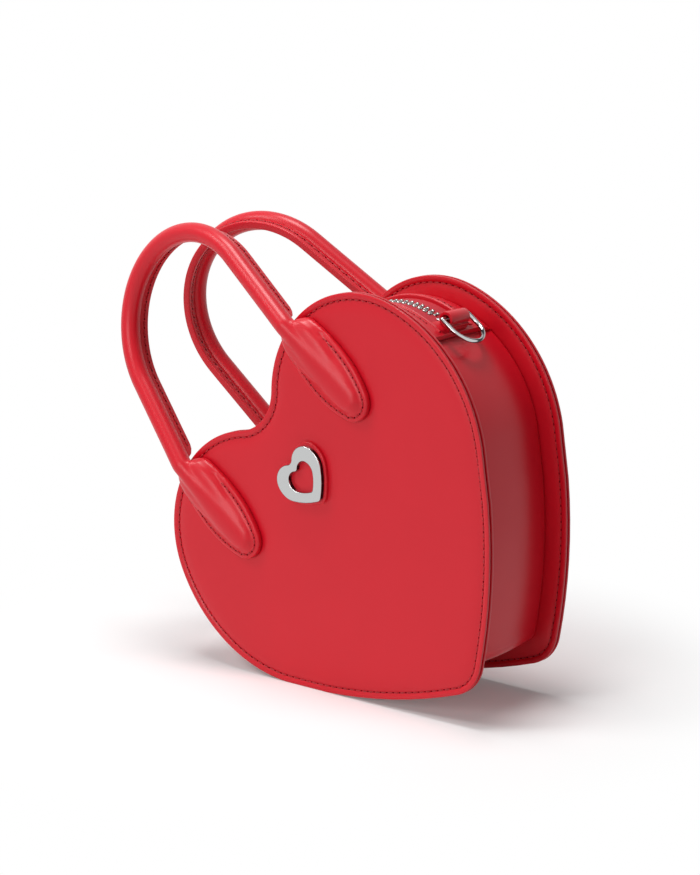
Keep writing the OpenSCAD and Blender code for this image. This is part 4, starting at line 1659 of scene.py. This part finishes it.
def tab_pad():
    """A whole tab: the wall of its rim, the flat rim that is sewn, and the padding that swells inside."""
    t = settings().tabs
    tuck, edge = 0.1 * MM, 0.3 * MM
    bm = bmesh.new()
    face = tab_face(bm, tuck)
    bmesh.ops.translate(bm, vec=(0, -tuck, 0), verts=bm.verts[:])
    top = raised(bm, face, t.rim - tuck - edge)
    reach = min(t.shoulder, t.end) - t.rim_width - edge
    steps = 7
    levels = [t.crown * math.sin(QUARTER * k / steps) for k in range(steps + 1)]
    rim = [(edge, edge), (t.rim_width - tuck - edge, 0.05 * MM)]
    swell_up(bm, top, rim + [(reach / steps, high - low) for low, high in zip(levels, levels[1:])])
    point_outwards(bm)
    return bm


def dome(wall, crown, above):
    """Padding over a tab, from just inside its outline up a wall to a round crown.

    It keeps only what lies above a height, which is measured from the neck.
    """
    t = settings().tabs
    inset, foot, flat_top = 0.1 * MM, 0.15 * MM, 0.4 * MM
    bm = bmesh.new()
    face = tab_face(bm, inset)
    bmesh.ops.translate(bm, vec=(0, -foot, 0), verts=bm.verts[:])
    top = raised(bm, face, wall)
    reach = min(t.shoulder, t.end) - inset - flat_top
    steps = 6
    turns = [QUARTER * k / steps for k in range(steps + 1)]
    rises = [
        (reach * (math.cos(low) - math.cos(high)), crown * (math.sin(high) - math.sin(low)))
        for low, high in zip(turns, turns[1:])
    ]
    swell_up(bm, top, rises)
    cut = bmesh.ops.bisect_plane(
        bm,
        geom=bm.verts[:] + bm.edges[:] + bm.faces[:],
        plane_co=(0, 0, above),
        plane_no=(0, 0, 1),
        clear_inner=True,
    )
    bmesh.ops.edgeloop_fill(bm, edges=[e for e in cut["geom_cut"] if isinstance(e, bmesh.types.BMEdge)])
    point_outwards(bm)
    return bm


def handle_skin():
    """The front handle's roll and its tabs' padding as one skin, blended where the roll sinks in."""
    h = settings().handles
    t = settings().tabs
    half_depth = settings().panels.depth / 2
    roll = bmesh.new()
    lofted_rings(roll, roll_rings())
    point_outwards(roll)
    parts = [roll]
    full = t.rim + t.crown - 1.2 * MM
    for side in (-1, 1):
        web = bmesh.new()
        lofted_rings(web, sunk_rings(side, PADDING_BELOW))
        point_outwards(web)
        parts.append(web)
        neck = Matrix.Translation((h.shift + side * h.span / 2, -half_depth, -h.neck_drop))
        pads = (
            tab_pad(),
            dome(wall=1.3 * MM, crown=full, above=-10.5 * MM),
            dome(wall=1.6 * MM, crown=full - 1.1 * MM, above=-13.5 * MM),
        )
        for pad in pads:
            transform(pad, neck)
            parts.append(pad)
    obj = new_object("skin", joined(*parts))
    melt = obj.modifiers.new("melt", "REMESH")
    melt.mode = "VOXEL"
    melt.voxel_size = 0.55 * MM
    skin = applied(obj)
    for _ in range(9):
        bmesh.ops.smooth_vert(
            skin, verts=skin.verts[:], factor=0.5, use_axis_x=True, use_axis_y=True, use_axis_z=True
        )
    round_roll(skin)
    return skin


def round_roll(skin):
    """Puts the roll's skin back on its exact round, more and more above the necks."""
    h = settings().handles
    first_rounded, fade = 4 * MM, 7 * MM
    length, lean, rise = handle_shape()
    plane = handle_frame()
    back = plane.inverted()
    leg = Vector((math.sin(lean), 0, math.cos(lean)))
    neck = Vector((-h.span / 2, 0, 0))
    centre = Vector((0, 0, rise))
    for vert in skin.verts:
        local = back @ vert.co
        side = -1 if local.x > 0 else 1
        mirrored = Vector((local.x * side, local.y, local.z))
        run = (mirrored - neck).dot(leg)
        if run < first_rounded:
            continue
        axis = neck + leg * run
        if run > length:
            flat = Vector((mirrored.x, 0, mirrored.z)) - centre
            axis = centre + flat.normalized() * h.arch
        away = mirrored - axis
        share = min(1, (run - first_rounded) / fade)
        reach = away.length * (1 - share) + h.diameter / 2 * share
        mirrored = axis + away.normalized() * reach
        vert.co = plane @ Vector((mirrored.x * side, mirrored.y, mirrored.z))


# How the lip runs down a leg and tapers: shares of its straight run, and what is left of its last reach.
LIP_TAPER = ((0.5, 1.0), (0.34, 1.0), (0.06, 0.9), (0.06, 0.72), (0.04, 0.45))


def handle_lip():
    """The sewn lip along the roll, swept over the arch and down both legs."""
    h = settings().handles
    length, lean, rise = handle_shape()
    half = h.lip / 2
    root = h.diameter / 2 - 1.2 * MM
    edge = 0.7 * MM
    bm = bmesh.new()
    top = Arc(0.0, rise, h.arch, 0.0, lean - QUARTER, 26)
    points = [(-half * 0.8, root), (-half, h.lip_reach), (half, h.lip_reach), (half * 0.8, root)]
    wire = section(bm, points, top, 0.0, rounding=((1, edge), (2, edge)))
    last = sweep(bm, wire, [top])
    direction = Vector((math.sin(lean), 0, -math.cos(lean)))
    straight = length - h.lip_start
    for share, size in LIP_TAPER:
        edges = [e for e in last if isinstance(e, bmesh.types.BMEdge)]
        last = bmesh.ops.extrude_edge_only(bm, edges=edges)["geom"]
        verts = [v for v in last if isinstance(v, bmesh.types.BMVert)]
        bmesh.ops.translate(bm, vec=direction * straight * share, verts=verts)
        for vert in verts:
            vert.co.y = root + (vert.co.y - root) * size
    mirror_across(bm)
    merge_close(bm)
    fill_open_edges(bm)
    return bm


def lip_stitches(bm):
    """Stitches on both sides of the lip."""
    h = settings().handles
    p = settings().panels
    start = h.lip_start + 5 * MM
    half = handle_length() / 2 - start
    pitch = 4.2 * MM
    stitch_level = h.lip_reach - 2.4 * MM
    for side in (-1, 1):
        for distance in seam_steps(half, pitch):
            place, heading = handle_station(start + half + distance)
            stand = facing(place, heading, stitch_level)
            stand = stand @ Matrix.Translation((0, 0, side * h.lip * 0.48))
            if side < 0:
                stand = stand @ Matrix.Rotation(math.pi, 4, "X")
            add_stitch(bm, stand, pitch, p.thread * 1.1, 0.1)


def tab_stitches(bm, side):
    """Stitches inside a tab's rim, from one side below the neck round its end to the other."""
    h = settings().handles
    t = settings().tabs
    p = settings().panels
    arcs = tab_arcs()
    inset = 2.3 * MM
    pitch = 3.3 * MM
    outer_end, inner_end = -13.5 * MM, -18 * MM
    neck = Matrix.Translation((h.shift + side * h.span / 2, 0, -h.neck_drop))
    upright = Matrix.Rotation(QUARTER, 4, "X")
    face = -p.depth / 2 - t.rim - 0.15 * MM
    for distance in seam_steps(half_run(arcs, inset), pitch):
        place, heading = walk(arcs, inset, distance)
        outer = place.x * side > 0
        if place.z < (outer_end if outer else inner_end):
            add_stitch(bm, neck @ facing(place, heading, face) @ upright, pitch, p.thread * 1.2, 0.1)


class HANDBAG_OT_handles(bpy.types.Operator):
    """Makes both rolled handles, whose leather runs on into the padded tabs, and their seams"""

    bl_idname = "handbag.handles"
    bl_label = "Handles and tabs"

    def execute(self, context):
        for side in ("front", "back"):
            body = f"{side}_handle"
            tabs = [f"{side}_left_tab", f"{side}_right_tab"]
            skin = handle_skin()
            if side == "back":
                to_back(skin)
            obj = add_piece(
                skin, f"{body}_hide", ["smooth_leather"], None, smooth=60, outwards=False
            )
            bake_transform(obj)
            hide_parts(f"{body}_leather", *tabs)
            lip = handle_lip()
            transform(lip, handle_frame())
            threads = bmesh.new()
            lip_stitches(threads)
            transform(threads, handle_frame())
            sewn = bmesh.new()
            for sign in (-1, 1):
                tab_stitches(sewn, sign)
            for bm, name, entries, rides in (
                (lip, f"{body}_lip", ["smooth_leather"], body),
                (threads, f"{body}_stitches", SEAM_MATERIALS, body),
                (sewn, f"{side}_tab_stitches", SEAM_MATERIALS, "bag"),
            ):
                if side == "back":
                    to_back(bm)
                add_piece(bm, name, entries, rides)
            dress_node(f"{body}_core", "handle_cord")
            dress_node(f"{side}_tab_fillers", "fibreboard")
        return {"FINISHED"}


# Ornament


class HANDBAG_OT_ornament(bpy.types.Operator):
    """Makes the padded base, and polishes the metal heart on it"""

    bl_idname = "handbag.ornament"
    bl_label = "Ornament"

    def execute(self, context):
        o = settings().ornament
        half_depth = settings().panels.depth / 2
        arcs = heart_arcs()
        bm = bmesh.new()
        dip = bm.verts.new(arc_point(arcs[0], 0.0))
        sweep(bm, [dip], arcs)
        face = mirrored_face(bm)
        width = 2 * max(v.co.x for v in bm.verts)
        low = min(v.co.z for v in bm.verts)
        scale = Matrix.Scale(o.width / width, 4)
        middle = Matrix.Translation((0, 0, -low / 2))
        transform(bm, Matrix.Translation((0, -half_depth, -o.drop)) @ scale @ middle)
        raised(bm, face, o.base)
        # On so small a heart some points of the outline lie too close for an even bevel.
        merge_close(bm, 0.02 * MM)
        point_outwards(bm)
        upper = -half_depth - 0.5 * MM
        round_edges(bm, 0.6 * MM, segments=3, keep=lambda e: all(v.co.y < upper for v in e.verts))
        base = add_piece(bm, "ornament_base_hide", ["smooth_leather"], "bag", ["ornament_base"])
        polished_copy("ornament", "ornament_metal", "bag", 0.45 * MM)
        dress_node("ornament_washers", "polished_chrome")
        return {"FINISHED"}


# Lining


def lining_heart(level, low_y, high_y):
    """A heart of lining between two depths."""
    inside = level + 3 * MM
    points = [(inside, low_y), (level, low_y), (level, high_y), (inside, high_y)]
    return swept(points, heart_arcs(), closed=False)


class HANDBAG_OT_lining(bpy.types.Operator):
    """Makes the cloth lining inside the bag"""

    bl_idname = "handbag.lining"
    bl_label = "Lining"

    def execute(self, context):
        g = settings().gusset
        z = settings().zip
        cloth = 0.6 * MM
        seam_y = inner_depth() - g.leather
        lining_y = seam_y - cloth
        level = g.inset + g.leather
        under = border_level() + g.leather + z.tape
        tape_y = g.window / 2 + g.border
        mouth_y = 8 * MM
        front = lining_heart(level, -seam_y, -lining_y)
        back = lining_heart(level, lining_y, seam_y)
        low = [(level, lining_y), (level, -lining_y), (level + cloth, -lining_y), (level + cloth, lining_y)]
        gusset = swept(low, lower_arcs(g.end_heading))
        high = [
            (level, lining_y),
            (under, tape_y),
            (under, mouth_y),
            (under + cloth, mouth_y),
            (under + cloth, tape_y),
            (level + cloth, lining_y),
        ]
        strips = swept(high, upper_arcs(g.end_heading))
        both_depths(strips)
        for bm, name, node, inside, heart in (
            (front, "lining_front_cloth", "lining_front", "front_panel_facing", True),
            (back, "lining_back_cloth", "lining_back", "back_panel_facing", True),
            (gusset, "lining_gusset_cloth", "lining_gusset", "gusset_band", False),
            (strips, "lining_strip_cloth", "lining_strips", "zip_tape", False),
        ):
            weave = [(v.co.x, v.co.z, 0) if heart else (heart_length(v.co), v.co.y, 0) for v in bm.verts]
            # A sheet has two faces, so its flat area is half its surface.
            area = sum(f.calc_area() for f in bm.faces) / 2
            obj = add_piece(bm, name, ["lining_twill"], "bag", [node])
            mark_weave(obj, weave)
        dress_node("lining_ends", "lining_twill")
        return {"FINISHED"}


# Stage


def seen_rays(tree):
    """One for rays that see a surface, straight, mirrored or through glass, and zero for rays of light."""
    seen = add_node(tree, "ShaderNodeLightPath")
    total = 0.0
    for ray in ("Is Camera Ray", "Is Glossy Ray", "Is Transmission Ray"):
        added = add_node(
            tree,
            "ShaderNodeMath",
            {"operation": "ADD", "use_clamp": True},
            {0: seen.outputs[ray], 1: total},
        )
        total = added.outputs[0]
    return total


def floor_material():
    """Pale paper that fades into the white background away from the bag, and keeps the bag's shadow."""
    stage, tree = new_material("paper_sweep")
    place = add_node(tree, "ShaderNodeTexCoord").outputs["Object"]
    distance = add_node(tree, "ShaderNodeVectorMath", {"operation": "LENGTH"}, {0: place}).outputs["Value"]
    fade = add_node(
        tree,
        "ShaderNodeMapRange",
        {"interpolation_type": "SMOOTHSTEP"},
        {"Value": distance, "From Min": 0.1, "From Max": 0.2, "To Min": 0.12},
    )
    share = add_node(
        tree, "ShaderNodeMath", {"operation": "MULTIPLY"}, {0: fade.outputs["Result"], 1: seen_rays(tree)}
    )
    paper = add_node(tree, "ShaderNodeBsdfDiffuse", None, {"Color": linear("#f8f7f7")})
    white = add_node(tree, "ShaderNodeEmission", None, {"Color": (1, 1, 1, 1), "Strength": 1.0})
    mix = add_node(
        tree,
        "ShaderNodeMixShader",
        None,
        {0: share.outputs[0], 1: paper.outputs["BSDF"], 2: white.outputs["Emission"]},
    )
    finish_shader(tree, mix.outputs["Shader"])
    return stage


def world_light(diffuse):
    """A white room: plain to the camera and to reflections, and softer as a light."""
    world = bpy.data.worlds.new("white_room")
    world.use_nodes = True
    tree = world.node_tree
    tree.nodes.clear()
    level = shade_range(tree, seen_rays(tree), diffuse, 1.0)
    white = add_node(tree, "ShaderNodeBackground", None, {"Color": (1, 1, 1, 1), "Strength": level})
    add_node(tree, "ShaderNodeOutputWorld", None, {"Surface": white.outputs["Background"]})
    bpy.context.scene.world = world


def add_softbox(name, place, target, size, power):
    """A square area lamp that faces a target."""
    data = bpy.data.lights.new(name, "AREA")
    data.shape = "SQUARE"
    data.size = size
    data.energy = power
    lamp = bpy.data.objects.new(name, data)
    lamp.location = place
    lamp.rotation_mode = "QUATERNION"
    lamp.rotation_quaternion = (target - place).to_track_quat("-Z", "Y")
    bpy.context.scene.collection.objects.link(lamp)


def add_camera():
    """The camera at the photograph's angle, distance and framing. Returns the view's right and its back."""
    azimuth, elevation = math.radians(38.96), math.radians(13.10)
    focal_pixels, tall_pixels = 2700, 875
    aside, below, distance = 29.56 * MM, 25.80 * MM, 1197.5 * MM
    aim = lying() @ Vector((0, 0, 0.9 * MM))
    back = Vector(
        (
            math.sin(azimuth) * math.cos(elevation),
            -math.cos(azimuth) * math.cos(elevation),
            math.sin(elevation),
        )
    )
    right = (-back).cross(Vector((0, 0, 1))).normalized()
    down = (-back).cross(right)
    data = bpy.data.cameras.new("camera")
    data.sensor_width = 36
    data.lens = data.sensor_width * focal_pixels / tall_pixels
    data.clip_end = 20
    camera = bpy.data.objects.new("camera", data)
    camera.location = aim + aside * right + below * down + distance * back
    camera.rotation_mode = "QUATERNION"
    camera.rotation_quaternion = (-back).to_track_quat("-Z", "Y")
    bpy.context.scene.collection.objects.link(camera)
    bpy.context.scene.camera = camera
    return right, back


class HANDBAG_OT_stage(bpy.types.Operator):
    """Makes the paper floor, the white room, the lamps and the camera"""

    bl_idname = "handbag.stage"
    bl_label = "Stage"

    def execute(self, context):
        bm = bmesh.new()
        bmesh.ops.create_grid(bm, x_segments=1, y_segments=1, size=4.0)
        floor = new_object("paper_floor", bm)
        floor.data.materials.append(floor_material())
        right, back = add_camera()
        middle = Vector((0, 0, 0.08))
        nearer = Vector((back.x, back.y, 0)).normalized()
        up = Vector((0, 0, 1))
        for name, across, near, height, size, power in (
            ("key", -0.9, 0.15, 0.95, 0.45, 5.5),
            ("front_fill", -0.8, 1.1, 0.45, 0.6, 6.3),
            ("overhead", -0.12, 0.0, 1.3, 0.5, 13.0),
        ):
            place = middle + right * across + nearer * near + up * height
            add_softbox(name, place, middle, size, power)
        world_light(diffuse=0.1)
        context.scene.view_settings.view_transform = "Standard"
        return {"FINISHED"}


class HANDBAG_PT_sidebar(bpy.types.Panel):
    """Lists the steps that dress the handbag"""

    bl_label = "Handbag"
    bl_idname = "HANDBAG_PT_sidebar"
    bl_space_type = "VIEW_3D"
    bl_region_type = "UI"
    bl_category = "Handbag"

    def draw(self, context):
        for step in STEPS:
            self.layout.operator(step.bl_idname)
        for group in HandbagSettings.__annotations__:
            box = self.layout.box()
            box.label(text=group.capitalize())
            sizes = getattr(context.scene.handbag, group)
            for entry in sizes.__annotations__:
                box.prop(sizes, entry)


STEPS = (
    HANDBAG_OT_panels,
    HANDBAG_OT_gusset,
    HANDBAG_OT_rings,
    HANDBAG_OT_zip,
    HANDBAG_OT_handles,
    HANDBAG_OT_ornament,
    HANDBAG_OT_lining,
    HANDBAG_OT_stage,
)
GROUPS = (
    OutlineSizes,
    PanelSizes,
    GussetSizes,
    ZipSizes,
    RingSizes,
    HandleSizes,
    TabSizes,
    OrnamentSizes,
    Colours,
    HandbagSettings,
)


def register():
    """Registers the classes, and the settings on the scene."""
    for entry in (*GROUPS, *STEPS, HANDBAG_PT_sidebar):
        bpy.utils.register_class(entry)
    bpy.types.Scene.handbag = PointerProperty(type=HandbagSettings)


def unregister():
    """Takes the settings and the classes away again."""
    del bpy.types.Scene.handbag
    for entry in reversed((*GROUPS, *STEPS, HANDBAG_PT_sidebar)):
        bpy.utils.unregister_class(entry)


def main():
    """Runs every step in order."""
    register()
    for step in STEPS:
        group, name = step.bl_idname.split(".")
        getattr(getattr(bpy.ops, group), name)()
    bpy.context.view_layer.update()


if __name__ == "__main__":
    main()
